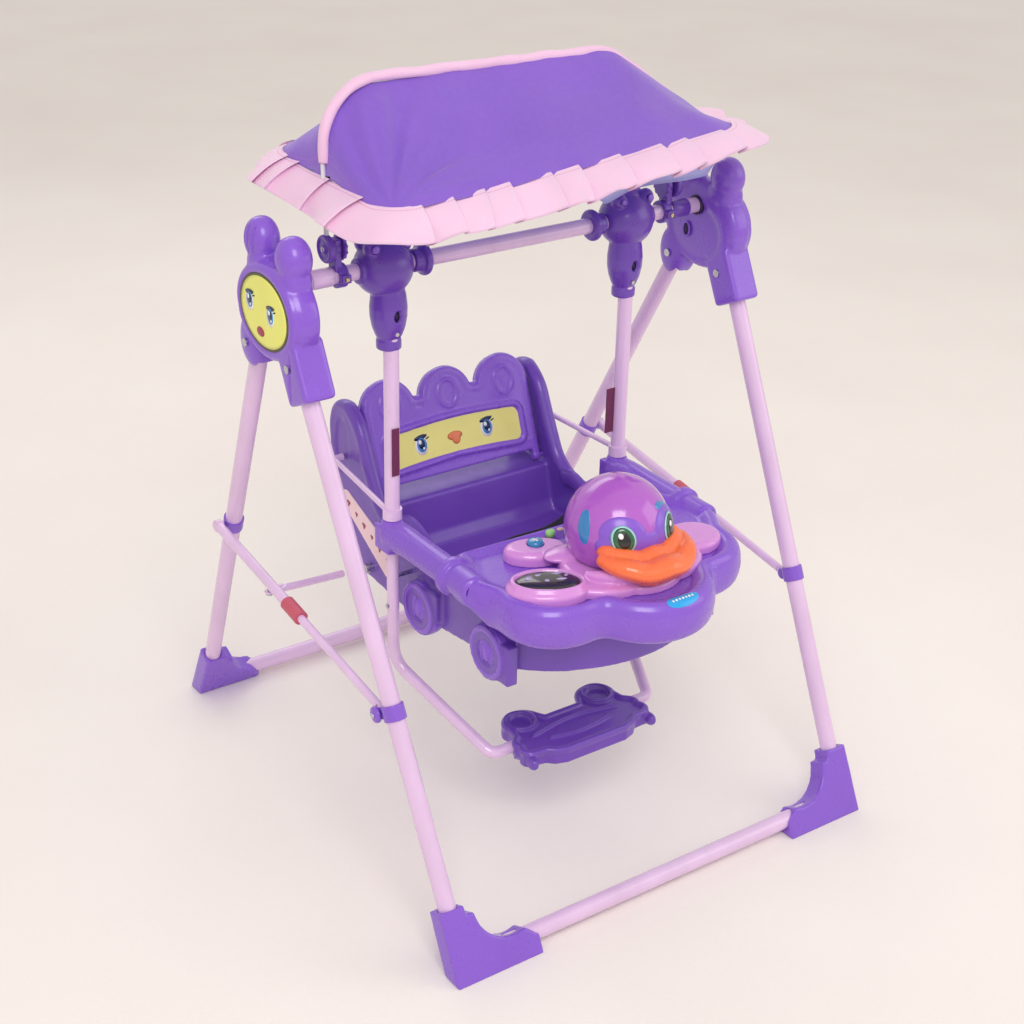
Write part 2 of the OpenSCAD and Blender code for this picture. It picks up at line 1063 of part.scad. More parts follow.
module tray() {
    color(violet)
        difference() {
            union() {
                translate([0, 0, tray_top - tray_t])
                    linear_extrude(tray_t)
                        difference() {
                            cloud(0);
                            translate([-300, -168])
                                square([600, 200]);
                        }
                translate([0, 0, lip_low])
                    linear_extrude(tray_top - tray_t - lip_low)
                        difference() {
                            cloud(0);
                            cloud(-14);
                            translate([-300, -275])
                                square([600, 300]);
                            translate([-seat_half - 5, -340])
                                square([2 * seat_half + 10, 70]);
                        }
                for (side = [-1, 1])
                    translate([side * hanger_x, collar_y, arm_h])
                        rotate([90, 0, 0])
                            cylinder(r = 33, h = 44);
            }
            for (side = [-1, 1])
                translate([side * hanger_x, 0, arm_h])
                    rotate([90, 0, 0])
                        cylinder(r = tray_spigot_r + run_gap, h = 300);
            for (side = [-1, 1])
                translate([side * hanger_x - 60, -214, 400])
                    cube([120, 214, 300]);
        }
}

module tray_label() {
    color(label_blue)
        translate([30, -494, tray_top])
            linear_extrude(badge_t)
                polygon(ellipse(34, 15));
}

// ---- Toy ----

module toy_outline() {
    hull() {
        translate([-118, -232])
            circle(r = 42);
        translate([118, -232])
            circle(r = 42);
        translate([-140, -330])
            circle(r = 56);
        translate([140, -330])
            circle(r = 56);
        translate([0, -392])
            circle(r = 62);
    }
}

module button_well(p, r) {
    translate([p.x, p.y, base_high - 10])
        cylinder(r = r, h = 20);
}

round_at = [-100, -232];
leaf_at = [-58, -216];
lamp_at = [-150, -338];

module toy_base() {
    color(toy_pink)
        difference() {
            translate([0, 0, base_low])
                linear_extrude(base_t)
                    toy_outline();
            button_well(round_at, 13 + free_gap);
            button_well(leaf_at, 11 + free_gap);
        }
}

module toy_head() {
    color(orchid)
        difference() {
            translate([0, toy_y, toy_h])
                sphere(r = head_r);
            translate([-200, toy_y - 200, base_high - 200])
                cube([400, 400, 200 + snug_gap]);
        }
}

// A curved patch lying on the head, cut out by an outline seen from the front
module on_head(r0, r1) {
    difference() {
        intersection() {
            translate([0, toy_y, toy_h])
                sphere(r = r1);
            translate([0, toy_y, 0])
                rotate([90, 0, 0])
                    linear_extrude(200)
                        children();
        }
        translate([0, toy_y, toy_h])
            sphere(r = r0);
    }
}

module toy_mask() {
    color(violet)
        on_head(head_r, head_r + mask_t) {
            for (x = [-40, 40])
                translate([x, toy_h + 18])
                    circle(r = 34);
            translate([-40, toy_h])
                square([80, 28]);
        }
}

module toy_eyes() {
    color(leaf_green)
        on_head(head_r + mask_t, head_r + mask_t + 3)
            for (x = [-44, 44])
                translate([x, toy_h + 17])
                    circle(r = 15);
}

module toy_beak() {
    color(beak_orange)
        difference() {
            hull() {
                for (x = [-66, 66])
                    translate([x, toy_y - 66, toy_h - 22])
                        sphere(r = 20, $fn = 32);
                for (x = [-26, 26])
                    translate([x, toy_y - 112, toy_h - 20])
                        sphere(r = 21, $fn = 32);
            }
            translate([0, toy_y, toy_h])
                sphere(r = head_r + mask_t + 0.5);
        }
}

// An oval lens on the base
module toy_lamp() {
    color("#2b2030")
        translate([lamp_at.x, lamp_at.y, base_high])
            hull() {
                for (x = [-18, 18])
                    translate([x, 0, 0]) {
                        cylinder(r = 24, h = 3, $fn = 32);
                        cylinder(r = 12, h = 10, $fn = 32);
                    }
            }
}

module toy_button(p, r) {
    translate([p.x, p.y, base_high - 10 + toy_travel + free_gap])
        cylinder(r = r, h = 10);
}

module toy_button_round() {
    color(label_blue)
        toy_button(round_at, 13);
}

module toy_button_leaf() {
    color(leaf_green)
        toy_button(leaf_at, 11);
}

// ---- Canopy ----

// A clip round the crossbar with an upright that carries the tilting disc
module canopy_clamp(right) {
    color(deep_violet)
        sided(right)
            difference() {
                union() {
                    x_rod(-333, -317, 0, bar_h, 20);
                    translate([-333, -9, bar_h])
                        cube([8, 18, tilt_h - bar_h]);
                    x_rod(-333, -325, 0, tilt_h, 13);
                }
                x_rod(-340, -300, 0, bar_h, bar_r + snug_gap);
                x_rod(-340, -300, 0, tilt_h, 4 + run_gap);
            }
}

module canopy_clamp_left() {
    canopy_clamp(false);
}

module canopy_clamp_right() {
    canopy_clamp(true);
}

// The hem is lowest at its front left corner and highest at its front right corner
function hem_z(x, y) = hem_h + hem_drop * (x / hem_x) * (1 - y / hem_y) / 2;

function hem_points(dx, dz) = [
    for (c = [[0.02, -1], [1, -1], [1, 1], [-1, 1], [-1, -1], [0, -1]])
        let (x = c.x * (hem_x + dx), y = c.y * (hem_y + dx))
            [x, y, hem_z(x, y) + dz]
];

// The ridge rod's height over x: round at the left shoulder, sloped at the right one
ridge_points = [
    [-tilt_x, 0, tilt_h + 12], [-tilt_x - 7, 0, ridge_h], [190, 0, ridge_h - 7],
    [tilt_x, 0, 1192], [tilt_x, 0, tilt_h + 12]
];

// The ridge rod, the hem wire and the two toothed discs
module canopy_frame() {
    color(steel) {
        tube_path(ridge_points, [0, 95, 110, 40, 0], rod_r, rod_r);
        tube_path(hem_points(-8, -10), [0, 60, 60, 60, 60, 0], wire_r, wire_r);
        translate([-8, -hem_y + 8, hem_z(0, -hem_y) - 10])
            x_rod(0, 20, 0, 0, wire_r + 1.5);
        for (right = [false, true])
            sided(right) {
                translate([-tilt_x, 0, tilt_h])
                    rotate([0, 90, 0])
                        difference() {
                            translate([0, 0, -7])
                                cylinder(r = disc_r, h = 14);
                            for (a = [120:20:240])
                                rotate(a)
                                    translate([disc_r, 0, -8])
                                        cylinder(r = 2, h = 16);
                        }
                x_rod(-tilt_x + 7, -322, 0, tilt_h, 4);
            }
    }
}

// Half width of the cloth at a distance along the crossbar, with rounded corners
function cloth_y(x, half_x, half_y, corner) =
    abs(x) < half_x - corner ? half_y :
    half_y - corner + sqrt(max(0, corner * corner - pow(abs(x) - half_x + corner, 2)));

// Height of the cloth along the ridge, just under the ridge rod
function cloth_ridge(x) =
    let (left = min(1, max(0, (x + cover_x) / 110)), right = min(1, max(0, (cover_x - x) / 212)))
        hem_h + (ridge_h - 14 - hem_h) * min(sqrt(1 - pow(1 - left, 2)), right);

function cloth_z(x, u) = let (e = hem_z(x, u * hem_y))
    e + (cloth_ridge(x) - hem_h) * (1 - pow(abs(u), 1.1));

// A thin closed shell, stretched from the ridge to the hem
module canopy_cover() {
    nx = 28;
    ny = 12;
    xs = [for (i = [0:nx]) -cover_x * cos(180 * i / nx)];
    points = [
        for (t = [0, -cloth_t])
            for (i = [0:nx])
                for (j = [0:ny])
                    let (u = 2 * j / ny - 1)
                        [xs[i], u * cloth_y(xs[i], cover_x, cover_y, hem_corner),
                            cloth_z(xs[i], u) + t]
    ];
    row = ny + 1;
    under = (nx + 1) * row;
    top = [for (i = [0:nx - 1]) for (j = [0:ny - 1])
        let (a = i * row + j)
            each [[a, a + 1, a + row + 1], [a, a + row + 1, a + row]]];
    edge = concat(
        [for (i = [0:nx]) i * row],
        [for (j = [1:ny]) nx * row + j],
        [for (i = [nx - 1:-1:0]) i * row + ny],
        [for (j = [ny - 1:-1:1]) j]
    );
    n = len(edge);
    color(cloth_violet)
        polyhedron(points, concat(
            top,
            [for (f = top) [f[2] + under, f[1] + under, f[0] + under]],
            [for (k = [0:n - 1]) each [
                [edge[k], edge[(k + 1) % n], edge[(k + 1) % n] + under],
                [edge[k], edge[(k + 1) % n] + under, edge[k] + under]
            ]]
        ));
}

// A point on the hem's rounded outline, grown outwards by g, at an angle
function hem_at(a, g) =
    let (
        sx = cos(a) >= 0 ? 1 : -1,
        sy = sin(a) >= 0 ? 1 : -1,
        px = sx * (hem_x - hem_corner),
        py = sy * (hem_y - hem_corner),
        t = a - 90 * floor(a / 90)
    )
        [px + (hem_corner + g) * cos(a), py + (hem_corner + g) * sin(a)];

// The frill round the hem: it slopes outwards and down
module canopy_ruffle() {
    n = 72;
    loops = [[1, 0], [ruffle_w, -24], [ruffle_w, -24 - cloth_t], [1, -cloth_t]];
    points = [
        for (i = [0:n - 1])
            for (l = loops)
                let (p = hem_at(360 * (i + 0.5) / n, l[0]))
                    [p.x, p.y, hem_z(p.x, p.y) + l[1]]
    ];
    color(cloth_pink)
        polyhedron(points, [
            for (i = [0:n - 1])
                for (k = [0:3])
                    let (a = 4 * i, b = 4 * ((i + 1) % n), m = (k + 1) % 4)
                        each [[a + k, b + k, b + m], [a + k, b + m, a + m]]
        ]);
}

front_leg_left();
front_leg_right();
front_base_bar();
front_shoe_left();
front_shoe_right();
crossbar();
hub_left();
hub_right();
hub_badges();
hub_bolts();
brace_clevis_left();
brace_clevis_right();
canopy_clamp_left();
canopy_clamp_right();
rear_leg_left();
rear_leg_right();
rear_base_bar();
rear_shoe_left();
rear_shoe_right();
brace_saddles();
brace_rod_left();
brace_rod_right();
brace_tube_left();
brace_tube_right();
brace_collar_left();
brace_collar_right();
lock_bar();
lock_pin();
hanger_bulb_left();
hanger_bulb_right();
hanger_tube_left();
hanger_tube_right();
bulb_button_left();
bulb_button_right();
footrest_tube();
footrest();
seat_shell();
seat_bolts();
side_stickers();
seat_belt();
stay_bar_left();
stay_bar_right();
hanger_tags();
backrest();
backrest_badge();
arm_left();
arm_right();
tray();
tray_label();
toy_base();
toy_head();
toy_mask();
toy_beak();
toy_eyes();
toy_lamp();
toy_button_round();
toy_button_leaf();
canopy_frame();
canopy_cover();
canopy_ruffle();
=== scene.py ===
import math
import random

import bpy
import numpy as np
from mathutils import Matrix, Vector
from mathutils.bvhtree import BVHTree


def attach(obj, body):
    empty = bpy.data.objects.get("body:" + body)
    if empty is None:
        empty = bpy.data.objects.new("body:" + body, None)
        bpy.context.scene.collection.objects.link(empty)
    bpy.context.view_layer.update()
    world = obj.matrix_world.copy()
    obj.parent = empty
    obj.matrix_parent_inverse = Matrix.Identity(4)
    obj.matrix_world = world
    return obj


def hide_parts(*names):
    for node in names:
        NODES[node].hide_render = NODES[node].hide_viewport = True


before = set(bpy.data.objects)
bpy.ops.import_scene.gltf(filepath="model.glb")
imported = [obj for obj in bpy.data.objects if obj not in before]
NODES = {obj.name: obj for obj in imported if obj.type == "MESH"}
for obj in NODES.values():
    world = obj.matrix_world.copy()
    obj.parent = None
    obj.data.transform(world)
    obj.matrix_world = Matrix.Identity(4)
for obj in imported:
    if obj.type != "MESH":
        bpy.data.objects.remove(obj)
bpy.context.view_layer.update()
MM = 0.001

# ---- Camera, at the photograph's viewing angle ----
AZ, EL, ROLL = math.radians(-35.7056), math.radians(26.3821), math.radians(1.3975)
EYE = Vector((-1.66896, -2.34756, 1.93012))


def make_camera():
    back = Vector((math.sin(AZ) * math.cos(EL), -math.cos(AZ) * math.cos(EL), math.sin(EL)))
    right = Vector((math.cos(AZ), math.sin(AZ), 0))
    up = right.cross(-back)
    r2 = right * math.cos(ROLL) + up * math.sin(ROLL)
    u2 = up * math.cos(ROLL) - right * math.sin(ROLL)
    data = bpy.data.cameras.new("camera")
    data.lens = 63.74
    data.sensor_width = 36
    data.clip_end = 60
    cam = bpy.data.objects.new("camera", data)
    basis = Matrix((r2, u2, back)).transposed().to_4x4()
    cam.matrix_world = Matrix.Translation(EYE) @ basis
    bpy.context.scene.collection.objects.link(cam)
    bpy.context.scene.camera = cam


make_camera()


# ---- Shapes: each is (points in millimetres, faces) ----
def shape(points, faces):
    return np.asarray(points, float).reshape(-1, 3), [tuple(f) for f in faces]


def joined(*shapes):
    points, faces, base = [], [], 0
    for p, f in shapes:
        points.append(p)
        faces += [tuple(i + base for i in face) for face in f]
        base += len(p)
    return np.vstack(points), faces


def mirrored(s):
    p = s[0].copy()
    p[:, 0] *= -1
    return p, [tuple(reversed(f)) for f in s[1]]


def moved(s, offset=(0, 0, 0), matrix=None):
    p = s[0] if matrix is None else s[0] @ np.array(matrix, float).T
    return p + np.array(offset, float), s[1]


def both(s):
    return joined(s, mirrored(s))


def turn(axis, degrees):
    return np.array(Matrix.Rotation(math.radians(degrees), 3, axis))


def grid_faces(rows, cols, wrap_rows=False, wrap_cols=False):
    faces = []
    for i in range(rows if wrap_rows else rows - 1):
        for j in range(cols if wrap_cols else cols - 1):
            a, b = i * cols + j, i * cols + (j + 1) % cols
            c, d = ((i + 1) % rows) * cols + (j + 1) % cols, ((i + 1) % rows) * cols + j
            faces.append((a, b, c, d))
    return faces


def ellipsoid(c, r, n=32, m=18, matrix=None):
    rings = []
    for i in range(1, m):
        t = math.pi * i / m
        rings += [(math.sin(t) * math.cos(a), math.sin(t) * math.sin(a), math.cos(t))
                  for a in np.linspace(0, 2 * math.pi, n, endpoint=False)]
    p = np.array(rings + [(0, 0, 1), (0, 0, -1)]) * np.array(r, float)
    f = [tuple(reversed(q)) for q in grid_faces(m - 1, n, wrap_cols=True)]
    top, low, last = len(rings), len(rings) + 1, (m - 2) * n
    f += [(top, j, (j + 1) % n) for j in range(n)]
    f += [(low, last + (j + 1) % n, last + j) for j in range(n)]
    return moved((p, f), c, matrix)


def frames(points, side):
    """Tangent and two cross directions at each point; the first is as near to side as it can be."""
    p = np.array(points, float)
    t = np.gradient(p, axis=0)
    t /= np.linalg.norm(t, axis=1)[:, None]
    s = np.array(side, float)
    u = s - (t @ s)[:, None] * t
    u /= np.linalg.norm(u, axis=1)[:, None]
    return t, u, np.cross(t, u)


def tube(points, a, b=None, side=(0.13, 0.21, 0.97), n=18, closed=False):
    """A rod of elliptical section along points; a and b may be lists, one value a point."""
    p = np.array(points, float)
    q = np.vstack([p[-1:], p, p[:1]]) if closed else p
    t, u, v = frames(q, side)
    if closed:
        u, v = u[1:-1], v[1:-1]
    a = np.broadcast_to(np.array(a, float), (len(p),))
    b = a if b is None else np.broadcast_to(np.array(b, float), (len(p),))
    ang = np.linspace(0, 2 * math.pi, n, endpoint=False)
    rings = p[:, None] + a[:, None, None] * np.cos(ang)[None, :, None] * u[:, None] \
        + b[:, None, None] * np.sin(ang)[None, :, None] * v[:, None]
    f = [tuple(reversed(x)) for x in grid_faces(len(p), n, wrap_rows=closed, wrap_cols=True)]
    pts = rings.reshape(-1, 3)
    if not closed:
        f += [tuple(range(n)), tuple(reversed(range((len(p) - 1) * n, len(p) * n)))]
        f = [tuple(reversed(x)) for x in f]
    else:
        f = [tuple(reversed(x)) for x in f]
    return pts, f


def rounded(points, bends, step=6):
    """The corners of a polyline turned into arcs, each begun bends[i] before its corner."""
    p = [np.array(x, float) for x in points]
    out = [p[0]]
    for i in range(1, len(p) - 1):
        a = p[i] + (p[i - 1] - p[i]) / np.linalg.norm(p[i - 1] - p[i]) * bends[i - 1]
        b = p[i] + (p[i + 1] - p[i]) / np.linalg.norm(p[i + 1] - p[i]) * bends[i - 1]
        for t in np.linspace(0, 1, step):
            out.append((1 - t) ** 2 * a + 2 * t * (1 - t) * p[i] + t * t * b)
    out.append(p[-1])
    return np.array(out)


def resampled(points, step, closed=False):
    p = np.array(points, float)
    if closed:
        p = np.vstack([p, p[:1]])
    d = np.r_[0, np.cumsum(np.linalg.norm(np.diff(p, axis=0), axis=1))]
    n = max(2, int(round(d[-1] / step)))
    s = np.linspace(0, d[-1], n + 1)
    out = np.stack([np.interp(s, d, p[:, k]) for k in range(3)], axis=1)
    return out[:-1] if closed else out


def lathe(profile, n=40):
    """A solid turned round Z from (radius, height) pairs that start and end on the axis."""
    inner = profile[1:-1]
    ang = np.linspace(0, 2 * math.pi, n, endpoint=False)
    p = [(r * math.cos(a), r * math.sin(a), z) for r, z in inner for a in ang]
    f = grid_faces(len(inner), n, wrap_cols=True)
    low, top = len(p), len(p) + 1
    p += [(0, 0, profile[0][1]), (0, 0, profile[-1][1])]
    last = (len(inner) - 1) * n
    f += [(low, (j + 1) % n, j) for j in range(n)]
    f += [(top, last + j, last + (j + 1) % n) for j in range(n)]
    s = shape(p, f)
    return s if profile[-1][1] >= profile[0][1] else (s[0], [tuple(reversed(x)) for x in s[1]])


def prism(outline, low, high):
    """An outline in X-Y drawn up from low to high."""
    n = len(outline)
    p = [(x, y, low) for x, y in outline] + [(x, y, high) for x, y in outline]
    f = [(i, (i + 1) % n, (i + 1) % n + n, i + n) for i in range(n)]
    return shape(p, f + [tuple(reversed(range(n))), tuple(range(n, 2 * n))])


def block(lo, hi):
    (x0, y0, z0), (x1, y1, z1) = lo, hi
    return prism([(x0, y0), (x1, y0), (x1, y1), (x0, y1)], z0, z1)


def oval(a, b, n=40, cx=0, cy=0, turned=0):
    c, s = math.cos(math.radians(turned)), math.sin(math.radians(turned))
    out = []
    for t in np.linspace(0, 2 * math.pi, n, endpoint=False):
        x, y = a * math.cos(t), b * math.sin(t)
        out.append((cx + c * x - s * y, cy + s * x + c * y))
    return out


def to_x(s, x=0):
    """Turns a shape drawn in X-Y, height Z, to lie on a wall: X-Y become Y-Z and height becomes
    X."""
    p = s[0]
    return np.stack([p[:, 2] + x, p[:, 0], p[:, 1]], axis=1), s[1]


def from_nodes(*names):
    parts = []
    for name in names:
        m = NODES[name].data
        p = np.empty(len(m.vertices) * 3)
        m.vertices.foreach_get("co", p)
        parts.append((p.reshape(-1, 3) / MM, [tuple(x.vertices) for x in m.polygons]))
    return joined(*parts)


def build(name, s, smooth=True):
    mesh = bpy.data.meshes.new(name)
    mesh.from_pydata((s[0] * MM).tolist(), [], s[1])
    mesh.polygons.foreach_set("use_smooth", [smooth] * len(mesh.polygons))
    mesh.update()
    obj = bpy.data.objects.new(name, mesh)
    bpy.context.scene.collection.objects.link(obj)
    return obj


def fused(s, voxel, rounds, factor=0.5):
    """Shapes melted into one skin at this voxel size, with their edges rounded by smoothing."""
    obj = build("work", s)
    r = obj.modifiers.new("remesh", "REMESH")
    r.mode = "VOXEL"
    r.voxel_size = voxel * MM
    m = obj.modifiers.new("smooth", "SMOOTH")
    m.factor = factor
    m.iterations = rounds
    got = obj.evaluated_get(bpy.context.evaluated_depsgraph_get()).to_mesh()
    p = np.empty(len(got.vertices) * 3)
    got.vertices.foreach_get("co", p)
    loops = np.empty(len(got.loops), int)
    got.loops.foreach_get("vertex_index", loops)
    sides = np.empty(len(got.polygons), int)
    got.polygons.foreach_get("loop_total", sides)
    faces, at = [], 0
    for k in sides:
        faces.append(tuple(int(i) for i in loops[at:at + k]))
        at += k
    mesh = obj.data
    bpy.data.objects.remove(obj)
    bpy.data.meshes.remove(mesh)
    return p.reshape(-1, 3) / MM, faces


def pushed(s, centre, radii, shift, where=None, sharp=6):
    """Dents or swells the skin inside an ellipsoid round centre by shift."""
    p = s[0].copy()
    d = (((p - np.array(centre)) / np.array(radii)) ** 2).sum(axis=1)
    w = 1 / (1 + np.exp(sharp * (np.sqrt(d) - 1) * 4))
    if where is not None:
        w = w * where(p)
    p += w[:, None] * np.array(shift, float)
    return p, s[1]


def oval_patch(a, b, dome, rings=7, n=40):
    """A domed oval facing +Z with its edge at height 0, closed underneath."""
    p = []
    for i in range(1, rings + 1):
        r = i / rings
        p += [(a * r * math.cos(t), b * r * math.sin(t), dome * math.sqrt(max(0, 1 - r ** 2.6)))
              for t in np.linspace(0, 2 * math.pi, n, endpoint=False)]
    f = grid_faces(rings, n, wrap_cols=True)
    f = [tuple(reversed(x)) for x in f]
    p.append((0, 0, dome))
    f += [(len(p) - 1, j, (j + 1) % n) for j in range(n)]
    p.append((0, 0, 0))
    last = (rings - 1) * n
    f += [(len(p) - 1, last + (j + 1) % n, last + j) for j in range(n)]
    return shape(p, f)


# ---- Materials: all of them from nodes ----
def hexed(code):
    v = [int(code[i:i + 2], 16) / 255 for i in (1, 3, 5)]
    return tuple(x / 12.92 if x < 0.04045 else ((x + 0.055) / 1.055) ** 2.4 for x in v) + (1,)


class Mat:
    """A Principled material and short ways to wire the nodes that feed it."""

    def __init__(self, name):
        self.m = bpy.data.materials.new(name)
        self.m.use_nodes = True
        self.t = self.m.node_tree
        self.t.nodes.clear()
        self.out = self.t.nodes.new("ShaderNodeOutputMaterial")
        self.p = self.t.nodes.new("ShaderNodeBsdfPrincipled")
        self.link(self.p.outputs[0], self.out.inputs[0])
        self.co = self.t.nodes.new("ShaderNodeTexCoord").outputs["Object"]

    def link(self, a, b):
        self.t.links.new(a, b)

    def put(self, socket, value):
        if hasattr(value, "is_linked"):
            self.link(value, socket)
        else:
            socket.default_value = value

    def noise(self, scale, detail=4, rough=0.5, co=None, stretch=None):
        n = self.t.nodes.new("ShaderNodeTexNoise")
        n.inputs["Scale"].default_value = scale
        n.inputs["Detail"].default_value = detail
        n.inputs["Roughness"].default_value = rough
        source = co or self.co
        if stretch:
            m = self.t.nodes.new("ShaderNodeMapping")
            m.inputs["Scale"].default_value = stretch
            self.link(source, m.inputs[0])
            source = m.outputs[0]
        self.link(source, n.inputs["Vector"])
        return n.outputs[0]

    def wave(self, scale, axis, co=None):
        n = self.t.nodes.new("ShaderNodeTexWave")
        n.bands_direction = axis
        n.inputs["Scale"].default_value = scale
        self.link(co or self.co, n.inputs["Vector"])
        return n.outputs["Fac"]

    def math(self, op, a, b=0.0, c=0.0):
        n = self.t.nodes.new("ShaderNodeMath")
        n.operation = op
        for s, v in zip(n.inputs, (a, b, c)):
            self.put(s, v)
        return n.outputs[0]

    def ramp(self, fac, *stops):
        n = self.t.nodes.new("ShaderNodeValToRGB")
        e = n.color_ramp.elements
        e[0].position, e[0].color = stops[0]
        e[1].position, e[1].color = stops[-1]
        for pos, col in stops[1:-1]:
            x = e.new(pos)
            x.color = col
        self.link(fac, n.inputs[0])
        return n.outputs[0]

    def span(self, fac, a, b, low=0.35, high=0.65):
        n = self.t.nodes.new("ShaderNodeMapRange")
        self.link(fac, n.inputs[0])
        for i, v in enumerate((low, high, a, b)):
            n.inputs[i + 1].default_value = v
        return n.outputs[0]

    def mix(self, fac, a, b):
        n = self.t.nodes.new("ShaderNodeMix")
        n.data_type = "RGBA"
        self.put(n.inputs[0], fac)
        self.put(n.inputs[6], a)
        self.put(n.inputs[7], b)
        return n.outputs[2]

    def bump(self, height, strength, distance=0.001):
        n = self.t.nodes.new("ShaderNodeBump")
        n.inputs["Strength"].default_value = strength
        n.inputs["Distance"].default_value = distance
        self.link(height, n.inputs["Height"])
        self.link(n.outputs[0], self.p.inputs["Normal"])

    def set(self, **values):
        for k, v in values.items():
            self.put(self.p.inputs[k.replace("_", " ")], v)
        return self


def shades(code, up=1.12, down=0.86):
    c = hexed(code)
    return (tuple(min(1, x * down) for x in c[:3]) + (1,), tuple(min(1, x * up)
        for x in c[:3]) + (1,))


def plastic(name, code, rough=(0.25, 0.33), coat=0.3, grain=520, depth=0.018, scatter=0.0,
        spread=0.035):
    """Moulded plastic: faint mottling, an uneven polish and a fine orange-peel grain."""
    m = Mat(name)
    dark, light = shades(code, 1 + spread, 1 - spread)
    m.set(Base_Color=m.ramp(m.noise(9, 3), (0.3, dark), (0.7, light)),
          Roughness=m.span(m.noise(38, 5, 0.6), *rough))
    m.set(Coat_Weight=coat, Coat_Roughness=0.12, IOR=1.5)
    if scatter:
        m.set(Subsurface_Weight=scatter, Subsurface_Scale=0.006, Subsurface_Radius=(1.0, 0.6, 1.0))
    m.bump(m.math("ADD", m.noise(grain, 2), m.math("MULTIPLY", m.noise(40, 2), 0.6)), depth, 0.0006)
    return m.m


def painted(name, code):
    """Powder-coated tube: glossy, with faint waves along the steel and tiny specks."""
    m = Mat(name)
    dark, light = shades(code, 1.05, 0.93)
    m.set(Base_Color=m.ramp(m.noise(14, 3, 0.5, stretch=(1, 1, 0.3)), (0.3, dark), (0.7, light)),
          Roughness=m.span(m.noise(90, 4), 0.16, 0.27), Coat_Weight=0.5, Coat_Roughness=0.08)
    m.bump(m.math("ADD", m.noise(420, 3), m.noise(70, 2)), 0.03, 0.0005)
    return m.m


def metal(name, code, rough=(0.2, 0.4)):
    m = Mat(name)
    dark, light = shades(code, 1.1, 0.75)
    m.set(Base_Color=m.ramp(m.noise(55, 5, 0.65), (0.3, dark), (0.7, light)),
          Roughness=m.span(m.noise(240, 3), *rough), Metallic=1.0)
    m.bump(m.noise(800, 2), 0.08, 0.0004)
    return m.m


def cloth(name, code, pitch=0.0009, sheen=0.25, soft=0.1, stitch=None, spread=0.07):
    """Woven polyester: crossed threads, slight slubs; stitch = (place across, thread colour) on
    UV."""
    m = Mat(name)
    dark, light = shades(code, 1 + spread, 1 - spread)
    k = 0.314 / pitch
    weft = m.math("MULTIPLY", m.wave(k, "X"), m.math("ADD", m.wave(k, "Y"), m.wave(k, "Z")))
    colour = m.ramp(m.noise(7, 4), (0.3, dark), (0.7, light))
    fine = m.ramp(weft, (0.0, shades(code, 1, 0.8)[0]), (0.8, light))
    colour = m.mix(0.3, colour, fine)
    height = m.math("ADD", m.math("MULTIPLY", weft, 0.6), m.math("MULTIPLY", m.noise(45, 4), 1.6))
    if stitch:
        across, thread = stitch
        uv = m.t.nodes.new("ShaderNodeUVMap").outputs[0]
        xyz = m.t.nodes.new("ShaderNodeSeparateXYZ")
        m.link(uv, xyz.inputs[0])
        near = m.math("LESS_THAN", m.math("ABSOLUTE", m.math("SUBTRACT", xyz.outputs[1], across)),
            0.0007)
        dash = m.math("LESS_THAN", m.math("FRACT", m.math("MULTIPLY", xyz.outputs[0], 210.0)), 0.66)
        on = m.math("MULTIPLY", near, dash)
        colour = m.mix(on, colour, hexed(thread))
        height = m.math("SUBTRACT", height, m.math("MULTIPLY", near, 1.5))
    m.set(Base_Color=colour, Roughness=m.span(m.noise(120, 3), 0.62, 0.78))
    m.set(Sheen_Weight=sheen, Sheen_Roughness=0.5, Subsurface_Weight=soft, Subsurface_Scale=0.004)
    m.bump(height, 0.32, 0.0005)
    return m.m


VIOLET = plastic("violet_plastic", "#8657CE")
VIOLET_DEEP = plastic("violet_deep_plastic", "#6C42B0", rough=(0.26, 0.38))
VIOLET_SEAT = plastic("violet_seat_plastic", "#6E45B2", rough=(0.3, 0.42))
PINK = painted("pink_tube_paint", "#E0C0E4")
COLLAR = plastic("red_collar_plastic", "#C4566A", rough=(0.4, 0.55), coat=0.05)
ZINC = metal("zinc_steel", "#C9CAD0")
BRASS = metal("brass_screw", "#D8C68C")
ROD = painted("white_rod_paint", "#D9DADC")
BADGE = plastic("badge_print_green", "#E8E870", rough=(0.32, 0.45), coat=0.3, grain=300,
    spread=0.05)
BADGE_PALE = plastic("badge_print_pale", "#E5DE82", rough=(0.34, 0.46), coat=0.3, grain=300,
    spread=0.05)
STICKER = plastic("sticker_print_pink", "#F6D6DC", rough=(0.35, 0.5), coat=0.2, grain=300)
STICKER_MARK = plastic("sticker_mark", "#A03A52", rough=(0.4, 0.5), coat=0.1)
ORCHID = plastic("orchid_plastic", "#B25FC8", rough=(0.12, 0.22), coat=0.6, scatter=0.15)
TOY_PINK = plastic("toy_pink_plastic", "#D792DC", rough=(0.14, 0.24), coat=0.6, scatter=0.1)
ORANGE = plastic("orange_plastic", "#FA7440", rough=(0.22, 0.34), coat=0.35, scatter=0.15)
LENS = plastic("dark_lens", "#241B2A", rough=(0.06, 0.12), coat=0.8, depth=0.02)
LENS_MARK = plastic("lens_pale_print", "#B9A9DC", rough=(0.15, 0.25), coat=0.6)
TEAL = plastic("teal_window", "#2E86C8", rough=(0.08, 0.16), coat=0.8, scatter=0.2, spread=0.25)
BLUE = plastic("blue_plastic", "#1FA4E8", rough=(0.25, 0.36), coat=0.3)
KEY_BLUE = plastic("key_blue_plastic", "#2E86B8", rough=(0.12, 0.22), coat=0.7, spread=0.2)
LEAF = plastic("leaf_plastic", "#8FD07A", rough=(0.25, 0.35), coat=0.3)
TAN = plastic("tan_plastic", "#D8B49A", rough=(0.3, 0.4), coat=0.2)
WHITE = plastic("white_print", "#F4F4FA", rough=(0.3, 0.4), coat=0.3)
